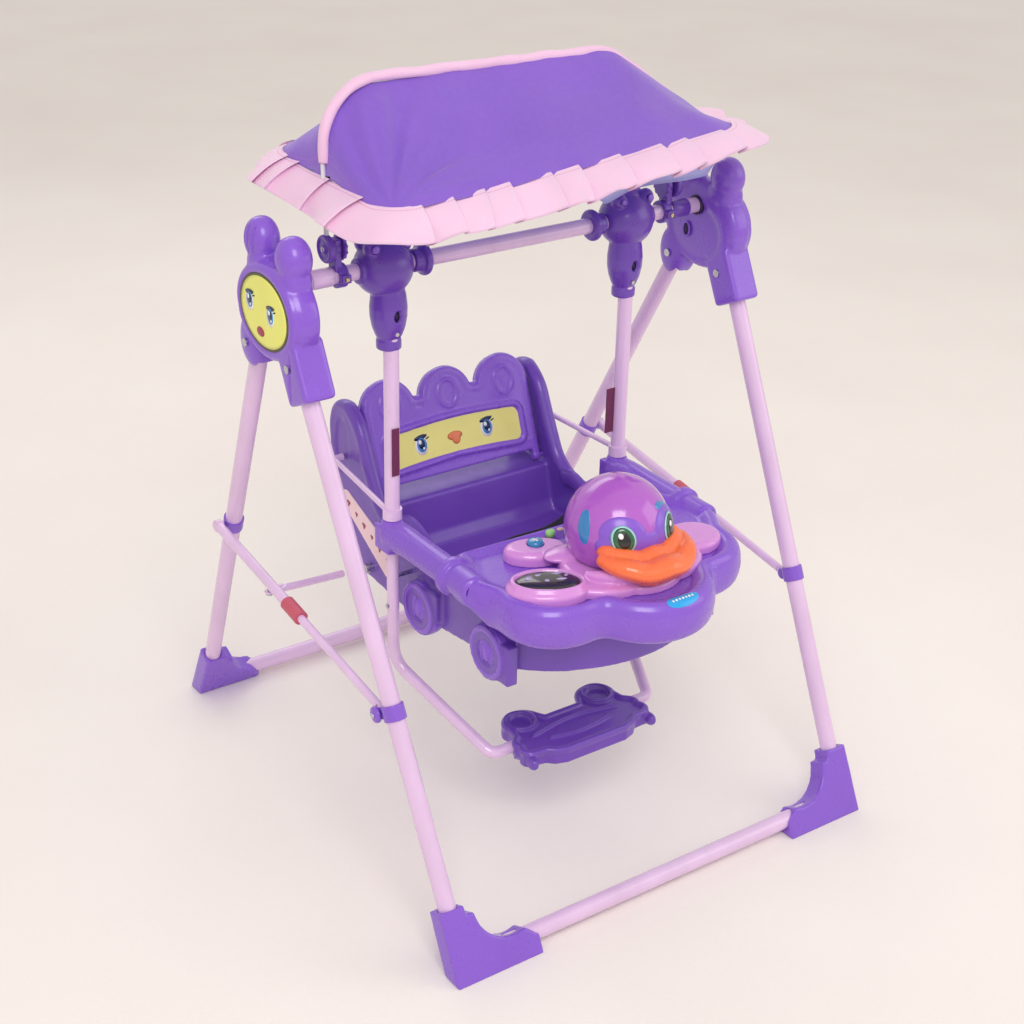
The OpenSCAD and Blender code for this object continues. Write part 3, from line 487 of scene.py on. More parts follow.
PALE_TEAL = plastic("eye_rim_teal", "#9FD3D8", rough=(0.2, 0.3), coat=0.5)
IRIS_GREEN = plastic("eye_iris_green", "#1F5A3A", rough=(0.1, 0.2), coat=0.8, spread=0.3)
IRIS_BLUE = plastic("eye_iris_blue", "#4A8BC4", rough=(0.3, 0.4), coat=0.3, spread=0.25)
NAVY = plastic("eye_print_navy", "#16294E", rough=(0.3, 0.4), coat=0.3)
BLACK = plastic("eye_pupil_black", "#0A0A10", rough=(0.1, 0.2), coat=0.8)
NOSE = plastic("nose_print", "#E07A50", rough=(0.35, 0.45), coat=0.2)
# painted shade: a flat dark colour for discs set in holes, bores and slots, standing in for the
# shade inside them
HOLE_SHADE = plastic("painted_hole_shade", "#2A1548", rough=(0.5, 0.6), coat=0.0)
EDGE = plastic("badge_outline", "#5A5638", rough=(0.4, 0.5), coat=0.1)
WEB = cloth("black_webbing", "#1D1C24", pitch=0.0016, sheen=0.1, soft=0)
TAG = cloth("plum_tag", "#6B1F4F", pitch=0.0008, sheen=0.1, soft=0)
CANOPY = cloth("violet_polyester", "#8359C8")
TAPE = cloth("pink_binding", "#EBC2E0", stitch=(0.004, "#D489B0"))
FRILL = cloth("pink_polyester", "#EEC6E2", soft=0.15, stitch=(0.008, "#D489B0"))
LINING = cloth("pale_lining", "#A9B2EC", soft=0.2)


# ---- Making pieces ----
def piece(name, s, mat, body, replaces=(), smooth=True, sharp=None):
    obj = build(name, s, smooth)
    obj.data.materials.append(mat)
    if sharp:
        obj.data.set_sharp_from_angle(angle=math.radians(sharp))
    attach(obj, body)
    if replaces:
        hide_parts(*replaces)
    return obj


def finish_node(mat, *names):
    for name in names:
        data = NODES[name].data
        data.materials.clear()
        data.materials.append(mat)


SIDES = (("left", lambda s: s), ("right", mirrored))

# ---- Stand: tubes, shoes, braces and hubs ----
finish_node(PINK, "front_leg_left", "front_leg_right", "rear_leg_left", "rear_leg_right",
            "front_base_bar", "rear_base_bar", "crossbar", "brace_tube_left", "brace_tube_right",
            "brace_rod_left", "brace_rod_right", "lock_bar", "hanger_tube_left",
            "hanger_tube_right", "footrest_tube")
finish_node(ZINC, "hub_bolts", "lock_pin", "seat_bolts", "bulb_button_left", "bulb_button_right")
finish_node(COLLAR, "brace_collar_left", "brace_collar_right")
finish_node(VIOLET, "brace_saddles")


def pillow(c, r, full=0.6):
    """An ellipsoid whose X profile is filled out, like a blown moulding."""
    p, f = ellipsoid((0, 0, 0), (1, 1, 1), 40, 24, turn("Y", 90))
    p = p.copy()
    p[:, 0] = np.sign(p[:, 0]) * np.abs(p[:, 0]) ** full
    return p * np.array(r, float) + np.array(c, float), f


def along(y, z, degrees, s):
    """Places a shape drawn round the origin at (y, z), leaned in the Y-Z plane."""
    return moved(s, (0, y, z), turn("X", degrees))


def cut(s, tool):
    a, b = build("work", s), build("tool", tool)
    m = a.modifiers.new("cut", "BOOLEAN")
    m.operation = "DIFFERENCE"
    m.solver = "EXACT"
    m.object = b
    got = a.evaluated_get(bpy.context.evaluated_depsgraph_get()).to_mesh()
    p = np.empty(len(got.vertices) * 3)
    got.vertices.foreach_get("co", p)
    faces = [tuple(f.vertices) for f in got.polygons]
    out = p.reshape(-1, 3) / MM, faces
    for o in (a, b):
        mesh = o.data
        bpy.data.objects.remove(o)
        bpy.data.meshes.remove(mesh)
    return out


LEAN = 25.85
BOLT_Y, BOLT_Z = 68.08, 893


def hub_shape():
    mid = -429.5
    parts = [
        pillow((mid, 0, 964), (29, 98, 80), 0.42),
        pillow((mid, 50, 1062), (26.5, 31, 37), 0.8), pillow((mid, -48, 1057), (27, 32, 36), 0.8),
        pillow((mid, 44, 1026), (25, 30, 30)), pillow((mid, -44, 1024), (26, 32, 30)),
        pillow((mid, 71, 895), (26.5, 33, 47), 0.45),
        along(-76, 886, -LEAN, fused(block((mid - 28, -31, -48), (mid + 28, 31, 50)), 2.8, 26)),
        tube([(-449, 83 * math.cos(t), 964 + 66 * math.sin(t))
              for t in np.linspace(0, 2 * math.pi, 60, endpoint=False)], 10.5, closed=True),
    ]
    s = fused(joined(*parts), 2.4, 9)
    for y in (38, 50, 62):
        s = pushed(s, (-458, y, 1068), (16, 3, 26), (3.2, 0, 0), lambda p: p[:, 0] < -440)
    s = pushed(s, (-462, -76, 880), (22, 3.5, 40), (2.2, 0, 0), lambda p: p[:, 0] < -445)
    s = pushed(s, (-396, 6, 950), (22, 74, 58), (-5, 0, 0), lambda p: p[:, 0] > -412)
    tools = [along(BOLT_Y, BOLT_Z, LEAN - a, block((-445, -16, -130), (-409.5, 16, 0)))
             for a in np.linspace(0, 30, 7)]
    tools.append(to_x(prism(oval(21, 21, cx=BOLT_Y, cy=BOLT_Z), -445, -409.5)))
    return cut(s, fused(joined(*tools), 2, 0))


hub = hub_shape()
for side, flip in SIDES:
    sx = -1 if side == "left" else 1
    piece("hub_shell_" + side, flip(hub), VIOLET, "stand", ["hub_" + side])
    rim = to_x(prism(oval(77.5, 60.5), 0, 1.2), 0)
    face = moved(flip(moved(rim, (-458.4, 0, 964))), (0, 0, 0))
    piece("hub_badge_edge_" + side, face, EDGE, "stand")

piece("hub_badge_faces", both(moved(to_x(moved(oval_patch(76, 59, 1.1, n=56), (0, 0, 0),
      np.diag((1, 1, -1)))), (-458.2, 0, 964))), BADGE, "stand", ["hub_badges"])


def eye_on_wall(name, body, place, k=1.0, wink=False):
    """A printed eye: white, blue iris, dark pupil, two highlights and lashes. place() puts it on
    its wall."""
    def spot(tag, a, b, cx, cy, lift, mat, angle=0):
        s = prism(oval(a * k, b * k, 28, turned=angle), 0, 0.25)
        piece(name + tag, place(moved(s, (cx * k, cy * k, lift))), mat, body)
    spot("_white", 9.5, 12.5, 0, 0, 0.0, WHITE)
    spot("_line", 9.8, 3.2, 0, 10.5, 0.15, NAVY, 8)
    spot("_iris", 7.2, 9.4, 0.6, 0.6, 0.3, IRIS_BLUE)
    spot("_pupil", 4.6, 6.6, 0.4, 2.0, 0.6, NAVY)
    spot("_glint", 2.3, 2.9, -1.8, 4.6, 0.9, WHITE)
    spot("_glint2", 1.4, 1.8, 2.6, -4.2, 0.9, WHITE)
    for i, (x, y, a) in enumerate(((7.5, 11.5, 35), (10, 8, 20))):
        spot("_lash%d" % i, 3.4, 0.9, x, y, 0.2, NAVY, a)


for side, flip in SIDES:
    def on_hub(y, z):
        def put(s):
            return flip(moved(to_x(moved(s, (0, 0, 0), np.diag((-1, 1, -1)))), (-459.5, y, z)))
        return put
    eye_on_wall("hub_eye_a_" + side, "stand", on_hub(42, 972), 1.3)
    eye_on_wall("hub_eye_b_" + side, "stand", on_hub(-24, 964), 1.3)
    beak = moved(to_x(moved(oval_patch(12, 8, 2.0, n=24), (0, 0, 0), np.diag((1, 1, -1)))),
                 (-459.2, 10, 930))
    piece("hub_beak_" + side, flip(beak), STICKER_MARK, "stand")

    # painted shade: a flat dark oval set inside the hub's inner-face hole stands in for the shade
    # within it
    hole = to_x(prism(oval(7.6, 11.5, cx=22, cy=950), -410, -402.2))
    piece("hub_hole_" + side, flip(hole), HOLE_SHADE, "stand")
    ring = tube([(-402.6, 22 + 8.6 * math.cos(t), 950 + 12.6 * math.sin(t))
                 for t in np.linspace(0, 2 * math.pi, 40, endpoint=False)], 2.0, n=10, closed=True)
    piece("hub_hole_rim_" + side, flip(ring), VIOLET, "stand")
    sleeve = to_x(moved(lathe([(0, 0), (15, 0), (15.6, 1), (15.6, 37), (15, 38), (0, 38)]),
        (0, 1000, 0)))
    piece("crossbar_sleeve_" + side, flip(moved(sleeve, (-378, 0, 0))), PINK if side == "left"
        else VIOLET_DEEP, "stand")
    # painted shade: a dark disc inside the sleeve's mouth stands in for the shade in the crossbar
    # bore
    mouth = to_x(moved(lathe([(0, 0), (17.5, 0), (17.5, 6), (0, 6)]), (0, 1000, 0)))
    piece("crossbar_mouth_shade_" + side, flip(moved(mouth, (-406.5, 0, 0))), HOLE_SHADE, "stand")
    for fore in ("front", "rear"):
        shoe = fused(from_nodes("%s_shoe_%s" % (fore, side)), 2.2, 26)
        shoe[0][:, 2] = np.maximum(shoe[0][:, 2], 0.2)
        piece("%s_shoe_shell_%s" % (fore, side), shoe, VIOLET, "stand" if fore == "front"
            else "rear_frame",
              ["%s_shoe_%s" % (fore, side)])
    clevis = joined(fused(from_nodes("brace_clevis_" + side), 1.4, 4))
    piece("brace_clevis_shell_" + side, clevis, VIOLET, "stand", ["brace_clevis_" + side])
    boss = to_x(moved(lathe([(0, 0), (4, 0), (5, 0.8), (5.5, 2), (10, 2.4), (13, 4), (13.6, 6),
        (13.6, 9), (0, 9)]),
                      (0, 0, 0)))
    piece("brace_boss_" + side, flip(moved(boss, (-446, -285.43, 384.67))), VIOLET, "stand")
    dot = to_x(moved(lathe([(0, 0), (3, 0), (4.2, 0.6), (4.6, 2), (4.6, 4), (0, 4)]), (0, 0, 0)))
    piece("brace_boss_bolt_" + side, flip(moved(dot, (-447.2, -285.43, 384.67))), ZINC, "stand")

# ---- Bulbs and clamps ----
def bulb_shape():
    x, z = -244, 1000
    parts = [
        ellipsoid((x, 0, z), (49.5, 47, 48), 48, 28),
        moved(lathe([(0, 864), (19, 864), (20.8, 866), (20.8, 880), (18.6, 882.5), (22.5, 889),
        (27.5, 903),
                     (30.5, 919), (31, 936), (29, 955), (25, 972), (10, 985), (0, 985)], 48),
                     (-240, -8, 0)),
        moved(to_x(moved(lathe([(0, 0), (20, 0), (21, 1), (21, 52), (0, 52)]), (0, z, 0))),
        (-294, 0, 0)),
        moved(to_x(moved(lathe([(0, 0), (19, 0), (19, 14), (26, 17), (27.5, 21), (26.5, 26),
        (22, 29), (0, 29)]),
                         (0, z, 0))), (-192, 0, 0)),
        ellipsoid((x - 30, -14, z + 38), (13, 15, 15)),
        ellipsoid((x + 28, -14, z + 38), (13, 15, 15)),
        ellipsoid((x - 28, 16, z + 38), (13, 14, 14)),
        ellipsoid((x + 26, 16, z + 38), (13, 14, 14)),
        tube([(x - 26, -4, z + 42), (x, -6, z + 44), (x + 24, -4, z + 42)], 8, 6),
    ]
    s = fused(joined(*parts), 1.7, 4)
    s = pushed(s, (-240, -42, 925), (6.5, 14, 10.5), (0, 6, 0), lambda p: p[:, 1] < -20, 9)
    s = pushed(s, (x - 30, -30, z + 40), (9, 7, 9), (0, 3, -1), lambda p: p[:, 1] < -12, 8)
    s = pushed(s, (x + 28, -30, z + 40), (7, 7, 8), (0, 3, -1), lambda p: p[:, 1] < -12, 8)
    return s


bulb = bulb_shape()
clamp = fused(joined(from_nodes("canopy_clamp_left"),
                     block((-337, -11, 1008), (-325, 11, 1060)),
                     moved(to_x(moved(lathe([(0, 0), (13, 0), (13, 6), (0, 6)]), (0, 1046, 0))),
                     (-336, 0, 0)),
                     block((-333, -27, 993), (-317, -16, 1007))), 1.3, 5)
disc = to_x(moved(lathe([(0, 0), (6, 0), (8, 2), (15, 2.5), (17, 1), (20, 0), (22, 1.5), (22.5, 4),
    (22.5, 10),
                         (20, 12), (0, 12)], 48), (0, 1046, 0)))
star = to_x(prism([((19 + 3.2 * (i % 2)) * math.cos(i * math.pi / 12), 1046 + (19 + 3.2 * (i % 2)) *
                    math.sin(i * math.pi / 12)) for i in range(24)], -324, -319))
for side, flip in SIDES:
    piece("bulb_shell_" + side, flip(bulb), VIOLET_DEEP, "swing", ["hanger_bulb_" + side])
    # painted shade: a dark inset oval on the bulb's neck stands in for the shade in its slot
    slot = moved(oval_patch(5.4, 9.2, -1.5), (-240, -33.5, 925), turn("X", 90))
    piece("bulb_slot_shade_" + side, flip(slot), HOLE_SHADE, "swing")
    for i, (x, r) in enumerate(((-274, 6.5), (-216, 5))):
        knob = moved(oval_patch(r, r, 1.6), (x, -28.5, 1039.5), turn("X", 78))
        piece("bulb_knob_%d_%s" % (i, side), flip(knob), VIOLET, "swing")
    piece("clamp_shell_" + side, flip(clamp), VIOLET_DEEP, "stand", ["canopy_clamp_" + side])
    screw = moved(lathe([(0, 0), (4, 0), (4, 1.5), (3, 3), (1.2, 3.4), (0, 2.6)]),
        (-325, -27, 1000), turn("X", 90))
    piece("clamp_screw_" + side, flip(screw), BRASS, "stand")
    piece("tilt_disc_" + side, flip(fused(moved(disc, (-352, 0, 0)), 1.2, 3)), VIOLET_DEEP,
        "canopy")
    piece("tilt_star_" + side, flip(fused(star, 1.0, 3)), VIOLET_DEEP, "canopy")
    nut = to_x(moved(lathe([(0, 0), (4, 0), (5, 1), (5, 3.5), (0, 3.5)], 6), (0, 1046, 0)))
    piece("tilt_nut_" + side, flip(moved(nut, (-354, 0, 0))), ZINC, "canopy")

# ---- Seat ----
def seat_shape():
    rim = rounded([(0, -385, 486), (0, -60, 486), (0, 58, 492), (0, 104, 524), (0, 136, 584),
        (0, 166, 648),
                   (0, 203, 676), (0, 238, 664), (0, 250, 630), (0, 240, 545), (0, 214, 452),
                   (0, 197, 390)],
                  [30, 30, 16, 20, 20, 16, 14, 16, 30, 30])
    rim = resampled(rim, 9)
    parts = [from_nodes("seat_shell")]
    for x in (-193, 193):
        parts.append(tube(rim + np.array([x, 0, 0]), 13.5, 12.5, side=(1, 0, 0)))
        s = 1 if x > 0 else -1
        x0, x1 = sorted((s * 198, s * 219))
        parts += [block((x0, -328, 380), (x1, -272, 452)), block((x0, -118, 398), (x1, -62, 450))]
        wing = [(s * 178, 60, 500), (s * 174, 30, 512), (s * 174, -10, 500), (s * 177, -60, 474)]
        parts.append(tube(resampled(rounded(wing, [12, 20]), 8), 9, 17, side=(1, 0, 0)))
    s = fused(joined(*parts), 2.8, 8)
    for side in (-1, 1):
        s = pushed(s, (side * 207, 212, 600), (12, 22, 52), (-side * 3.5, 0, 0),
            lambda p: side * p[:, 0] > 195)
    return s


piece("seat_body", seat_shape(), VIOLET_SEAT, "swing", ["seat_shell"])

wheel = lathe([(0, 0), (47, 0), (49, 3), (49, 14), (46, 19.5), (42, 21.5), (38, 21.5), (35.5, 19.5),
    (34, 16.5),
               (31, 15.5), (0, 15.5)], 56)
wheel_x = to_x(wheel)
for side, flip in SIDES:
    for tag, (y, z) in (("front", (-272, 420)), ("rear", (-66, 404))):
        disc_in = moved(wheel_x, (0, 0, 0), np.diag((-1, 1, 1)))
        disc_in = (disc_in[0], [tuple(reversed(f)) for f in disc_in[1]])
        hub_part = [moved(disc_in, (-204, y, z)), ellipsoid((-219, y, z), (7.5, 10, 19)),
                    tube([(-220, y + 19 * math.cos(t), z + 27 * math.sin(t))
                          for t in np.linspace(0, 2 * math.pi, 40, endpoint=False)], 2.4, n=10,
                                  closed=True)]
        piece("wheel_%s_%s" % (tag, side), flip(fused(joined(*hub_part), 1.5, 5)), VIOLET, "swing")

for side, flip in SIDES:
    marks = []
    for i, t in enumerate(np.linspace(0.06, 0.94, 6)):
        y, z = 196 - 148 * t, 500 - 68 * t
        w = 3.4 - 0.8 * (i % 2)
        mark = moved(to_x(moved(joined(oval_patch(w, w, 0.5, 3, 16),
            moved(oval_patch(w, w, 0.5, 3, 16), (w * 1.5, w * 0.4, 0)),
                                       moved(oval_patch(w * 0.8, w * 1.5, 0.5, 3, 16),
                                       (w * 0.8, -w * 0.9, 0))),
                                (0, 0, 0), np.diag((1, 1, -1)))), (-205.9, y, z))
        marks.append(mark)
    piece("sticker_marks_" + side, flip(joined(*marks)), STICKER_MARK, "swing")
finish_node(STICKER, "side_stickers")
finish_node(TAG, "hanger_tags")
finish_node(PINK, "stay_bar_left", "stay_bar_right")


def ribbon(line, across, width, thick=1.4, n=6):
    """A flat strap along line; across gives its width direction at each point."""
    line = np.array(line, float)
    across = np.array(across, float)
    across = across / np.linalg.norm(across, axis=1)[:, None]
    t = np.gradient(line, axis=0)
    t /= np.linalg.norm(t, axis=1)[:, None]
    up = np.cross(across, t)
    u = np.linspace(-0.5, 0.5, n + 1)
    top = line[:, None] + across[:, None] * (u * width)[None, :, None]
    low = top - up[:, None] * thick
    rows = np.concatenate([top, low[:, ::-1]], axis=1)
    f = grid_faces(len(line), 2 * (n + 1), wrap_cols=True)
    last = (len(line) - 1) * 2 * (n + 1)
    k = 2 * (n + 1)
    f += [tuple(reversed(range(k))), tuple(range(last, last + k))]
    return rows.reshape(-1, 3), [tuple(reversed(x)) for x in f]


def floor_of_belt(x):
    return 424 + 62 * (abs(x) / 176) ** 4


xs = np.linspace(-174, 174, 90)
belt = np.stack([xs, 8 + 9 * np.sin(xs / 46) - 0.05 * xs,
    [floor_of_belt(x) + 1.2 + 1.5 * (1 + math.sin(x / 21)) for x in xs]], axis=1)
lean_in = np.stack([0.12 * np.sin(xs / 60), np.ones_like(xs), 0.25 * np.sin(xs / 33)], axis=1)
strap = piece("lap_webbing", ribbon(belt, lean_in, 22), WEB, "swing", ["seat_belt"])

# ---- Backrest: drawn flat (u across, v up, w towards the child), then leaned back ----
def on_back(s):
    return moved(s, (0, 136, 518), turn("X", 70))


def panel_line(grow=0.0):
    """The three-humped outline, anticlockwise."""
    pts = [(-174 + 12 - grow * 0, 14 + 10 - grow), (174 - 12, 14 + 10 - grow), (174 + grow, 30),
        (175 + grow, 148)]
    for x in (122, 0, -122):
        for a in np.linspace(math.radians(14 if x == 122 else 3), math.radians(166 if x == -122
                else 177), 16):
            pts.append((x + (53 + grow) * math.cos(a), 148 + (53 + grow) * math.sin(a)))
    pts += [(-175 - grow, 148), (-174 - grow, 30)]
    return pts


def backrest_shape():
    edge = resampled([(x, y, 0) for x, y in panel_line(-9)], 7, closed=True)
    strip = resampled(rounded([(-146, 33, 7), (-146, 106, 7), (0, 116, 7), (146, 106, 7),
        (146, 33, 7), (0, 42, 7)],
                              [14, 60, 14, 14, 60], 8), 7)
    parts = [on_back(tube(edge + np.array([0, 0, -4]), 10.5, 12.5, side=(0, 0, 1), closed=True)),
             on_back(tube(strip, 4.2, 5, side=(0, 0, 1), closed=True)),
             from_nodes("backrest")]
    for x in (-122, 0, 122):
        ring = [(x + 19 * math.cos(t), 154 + 25 * math.sin(t), 6.6)
            for t in np.linspace(0, 2 * math.pi, 44, endpoint=False)]
        parts.append(on_back(tube(ring, 2.4, side=(0, 0, 1), closed=True)))
    return fused(joined(*parts), 2.2, 5)


piece("backrest_panel", backrest_shape(), VIOLET, "backrest", ["backrest"])


def arched(lo, hi, half, rise, n=24, corner=14):
    """A band whose top and bottom both arch up in the middle, with rounded corners."""
    us = np.linspace(-half, half, n)
    def lift(u, k):
        c = max(0.0, abs(u) - (half - corner))
        return rise * (1 - (u / half) ** 2) + k * (corner - math.sqrt(max(0, corner ** 2 - c ** 2)))
    return [(u, lo + lift(u, 1)) for u in us] + [(u, hi + lift(u, -1)) for u in reversed(us)]


badge = on_back(moved(prism(arched(39, 100, 145, 8, 60), 5.6, 7.4), (-4, 0, 0)))
piece("backrest_print", badge, BADGE_PALE, "backrest", ["backrest_badge"], sharp=40)


def on_panel(u, v):
    return lambda s: on_back(moved(s, (u, v, 7.4)))


eye_on_wall("back_eye_a", "backrest", on_panel(-74, 73), 1.4)
eye_on_wall("back_eye_b", "backrest", on_panel(68, 76), 1.4)
piece("back_nose", on_back(moved(joined(oval_patch(16, 8, 1.4, 4, 26),
    moved(oval_patch(9, 10, 1.5, 4, 26), (2, -6, 0))),
                                 (-2, 76, 7.5))), NOSE, "backrest")

# ---- Arms ----
def arm_shape():
    x, y = -240, -15
    line = resampled(rounded([(x, y, 531), (x, -60, 535), (x, -150, 535), (x, -212, 535)],
        [20, 20]), 8)
    grow = 24.5 + 1.6 * np.exp(-((np.linspace(0, 1, len(line)) - 0.1) / 0.2) ** 2)
    parts = [tube(line, grow, side=(1, 0, 0), n=36),
             block((x - 22, y - 20, 503), (x + 22, y + 24, 549)),
             moved(lathe([(0, 545), (19, 545), (19, 553), (17, 560), (0, 560)], 40), (x, y, 0)),
             moved(lathe([(0, 498), (17, 498), (19, 503), (0, 503)], 40), (x, y, 0)),
             tube([(x, -206, 535), (x, -265, 535)], 18.8, side=(1, 0, 0), n=30)]
    s = fused(joined(*parts), 1.9, 7)
    return s


arm = arm_shape()
for side, flip in SIDES:
    piece("arm_shell_" + side, flip(arm), VIOLET, "swing", ["arm_" + side])

# ---- Footrest ----
def footrest_shape():
    def car(grow):
        pts = [(-66, -78), (66, -78), (88, -70), (100, -58), (130, -56), (138, -46), (138, -34),
            (132, -26),
               (138, -16), (132, -2), (120, 8), (117, 36)]
        pts += [(84 + 36 * math.cos(a), 42 + 36 * math.sin(a))
            for a in np.linspace(0.1, math.pi - 0.25, 12)]
        pts += [(40, 34), (-40, 34)]
        pts += [(-84 + 36 * math.cos(a), 42 + 36 * math.sin(a))
            for a in np.linspace(0.25, math.pi - 0.1, 12)]
        pts += [(-117, 36), (-120, 8), (-132, -2), (-138, -16), (-132, -26), (-138, -34),
            (-138, -46), (-130, -56)]
        pts += [(-100, -58), (-88, -70)]
        return [(x * (1 - grow / 150), y * (1 - grow / 60) - grow * 0.2) for x, y in pts]
    edge = resampled([(x, y - 222, 187) for x, y in car(7)], 7, closed=True)
    parts = [moved(prism(car(3), 161, 187), (0, -222, 0)), tube(edge, 6.5, 6.5, closed=True)]
    for sx in (-1, 1):
        for y in (-60, -22):
            parts.append(ellipsoid((sx * 128, y - 222, 175), (9, 14, 12)))
        ring = [(sx * 84 + 27 * math.cos(t), 40 - 222 + 27 * math.sin(t), 192)
            for t in np.linspace(0, 2 * math.pi, 40, endpoint=False)]
        parts.append(tube(ring, 3.4, closed=True))
    for a, b, c in (((-70, -30), (-10, -44), (60, -30)), ((-92, -10), (0, 8), (92, -10))):
        line = rounded([(a[0], a[1] - 222, 192), (b[0], b[1] - 222, 192), (c[0], c[1] - 222, 192)],
            [40], 12)
        parts.append(tube(resampled(line, 6), 2.2))
    s = fused(joined(*parts), 1.9, 9)
    for sx in (-1, 1):
        s = pushed(s, (sx * 84, 40 - 222, 192), (22, 22, 14), (0, 0, -3), lambda p: p[:, 2] > 180)
    return s


piece("footrest_plate", footrest_shape(), VIOLET_SEAT, "footrest", ["footrest"])

# ---- Tray ----
TRAY_MID = np.array([0.0, -300.0])


def cloud_reach(angle):
    """How far the tray's cloud outline is from its middle at an angle."""
    d = np.array([math.cos(angle), math.sin(angle)])
    best = 0.0
    for cx, cy, r in ((-184, -250, 80), (184, -250, 78), (-154, -346, 90), (144, -342, 84),
            (0, -394, 116)):
        m = np.array([cx, cy]) - TRAY_MID
        b = m @ d
        q = b * b - m @ m + r * r
        if q >= 0:
            best = max(best, b + math.sqrt(q))
    for w, y0, y1 in ((228, -300, -150),):
        lim = []
        if abs(d[0]) > 1e-6:
            lim.append(w / abs(d[0]))
        if d[1] > 1e-6:
            lim.append((y1 - TRAY_MID[1]) / d[1])
        if d[1] >= -1e-9:
            best = max(best, min(lim))
    return best


def tray_shape():
    n = 300
    ang = np.linspace(0, 2 * math.pi, n, endpoint=False)
    reach = np.array([cloud_reach(a) for a in ang])
    for _ in range(28):
        reach = (np.roll(reach, 1) + 2 * reach + np.roll(reach, -1)) / 4
    x, y = reach * np.cos(ang), TRAY_MID[1] + reach * np.sin(ang)
    y = np.minimum(y, -168)
    low = np.where(y < -300, 0, np.clip((y + 300) / 30, 0, 1))
    rings = []
    for inset, z in ((120, 545), (50, 545), (43, 546.5), (36, 551), (28, 555.5), (20, 557),
            (12, 554.5), (5, 547), (1.5, 536),
                     (0, 521), (1, 508), (4, 496), (9, 489), (15, 484.5), (21, 483), (27, 485),
                     (31, 495), (34, 514), (120, 514)):
        zz = np.where(z < 514, z * (1 - low) + (514 - (z - 483) * 0.0) * low, z)
        k = 1 - np.minimum(inset, 0.85 * reach) / reach
        py = TRAY_MID[1] + (y - TRAY_MID[1]) * k
        rings.append(np.stack([x * k, py, zz], axis=1))
    p = np.vstack(rings + [np.array([[0, TRAY_MID[1], 545], [0, TRAY_MID[1], 514]])])
    m = len(rings)
    f = grid_faces(m, n, wrap_cols=True)
    f = [tuple(reversed(q)) for q in f]
    f += [(m * n, j, (j + 1) % n) for j in range(n)]
    f += [(m * n + 1, (m - 1) * n + (j + 1) % n, (m - 1) * n + j) for j in range(n)]
    f = [tuple(reversed(q)) for q in f]
    body = (p, f)
    parts = [body]
    for s in (-1, 1):
        for y0, y1, r in ((-194, -210, 33), (-206, -266, 25.5)):
            parts.append(tube([(s * 240, y0, 535), (s * 240, y1, 535)], r, side=(1, 0, 0), n=44))
    s = fused(joined(*parts), 2.2, 6)
    near = np.hypot(s[0][:, 0] / 196, (s[0][:, 1] + 325) / 130) < 1
    top = near & (s[0][:, 2] > 540) & (s[0][:, 2] < 547)
    s[0][top, 2] = np.minimum(s[0][top, 2], 544.9)
    return s


tray = tray_shape()
bores = joined(*[tube([(s * 240, -160, 535), (s * 240, -269, 535)], 19.2, side=(1, 0, 0), n=40)
    for s in (-1, 1)])
piece("tray_top", cut(tray, bores), VIOLET, "tray", ["tray"])


def laid_on(base, s, lift):
    """Drops a flat shape onto another, keeping its own thickness plus lift."""
    tree = BVHTree.FromPolygons([tuple(x) for x in base[0]], base[1])
    p = s[0].copy()
    for i, (x, y, z) in enumerate(s[0]):
        hit = tree.ray_cast(Vector((x, y, 700)), Vector((0, 0, -1)))[0]
        p[i, 2] = z + lift + (hit.z if hit else 545)
    return p, s[1]


label = laid_on(tray, moved(oval_patch(31, 12, 0.6, 10, 56), (-2, -491, 0), turn("Z", 0)), 0.5)
piece("tray_badge", label, BLUE, "tray", ["tray_label"], sharp=40)
dots = laid_on(tray, joined(*[moved(oval_patch(1.8 + 0.7 * (i % 2), 2.4, 0.5, 3, 14),
    (-21 + 6.4 * i, -491, 0))
                              for i in range(7)]), 1.2)
piece("tray_badge_dots", dots, WHITE, "tray")

# ---- Toy ----
HEAD = np.array([0.0, -318.0, 610.0])
HEAD_R = 87.0


def plate(outline, low, high, round_by):
    """A flat-bottomed plate with a rounded shoulder, from an outline that its middle can see all
    of."""
    o = np.array(outline, float)
    mid = o.mean(axis=0)
    n = len(o)
    rings = []
    for t in np.linspace(0, math.pi / 2, 6):
        inset, z = round_by * (1 - math.cos(t)), high - round_by * (1 - math.sin(t))
        d = o - mid
        k = 1 - inset / np.linalg.norm(d, axis=1)
        rings.append(np.column_stack([mid + d * k[:, None], np.full(n, z)]))
    rings.insert(0, np.column_stack([o, np.full(n, low)]))
    p = np.vstack(rings + [np.array([[*mid, high], [*mid, low]])])
    m = len(rings)
    f = grid_faces(m, n, wrap_cols=True)
    f += [(m * n, (m - 1) * n + j, (m - 1) * n + (j + 1) % n) for j in range(n)]
    f += [(m * n + 1, (j + 1) % n, j) for j in range(n)]
    return p, f


DISPLAY, DISPLAY_TURN = (-160, -350), math.radians(-30)


def display_point(u, v):
    c, s = math.cos(DISPLAY_TURN), math.sin(DISPLAY_TURN)
    return DISPLAY[0] + c * u - s * v, DISPLAY[1] + s * u + c * v


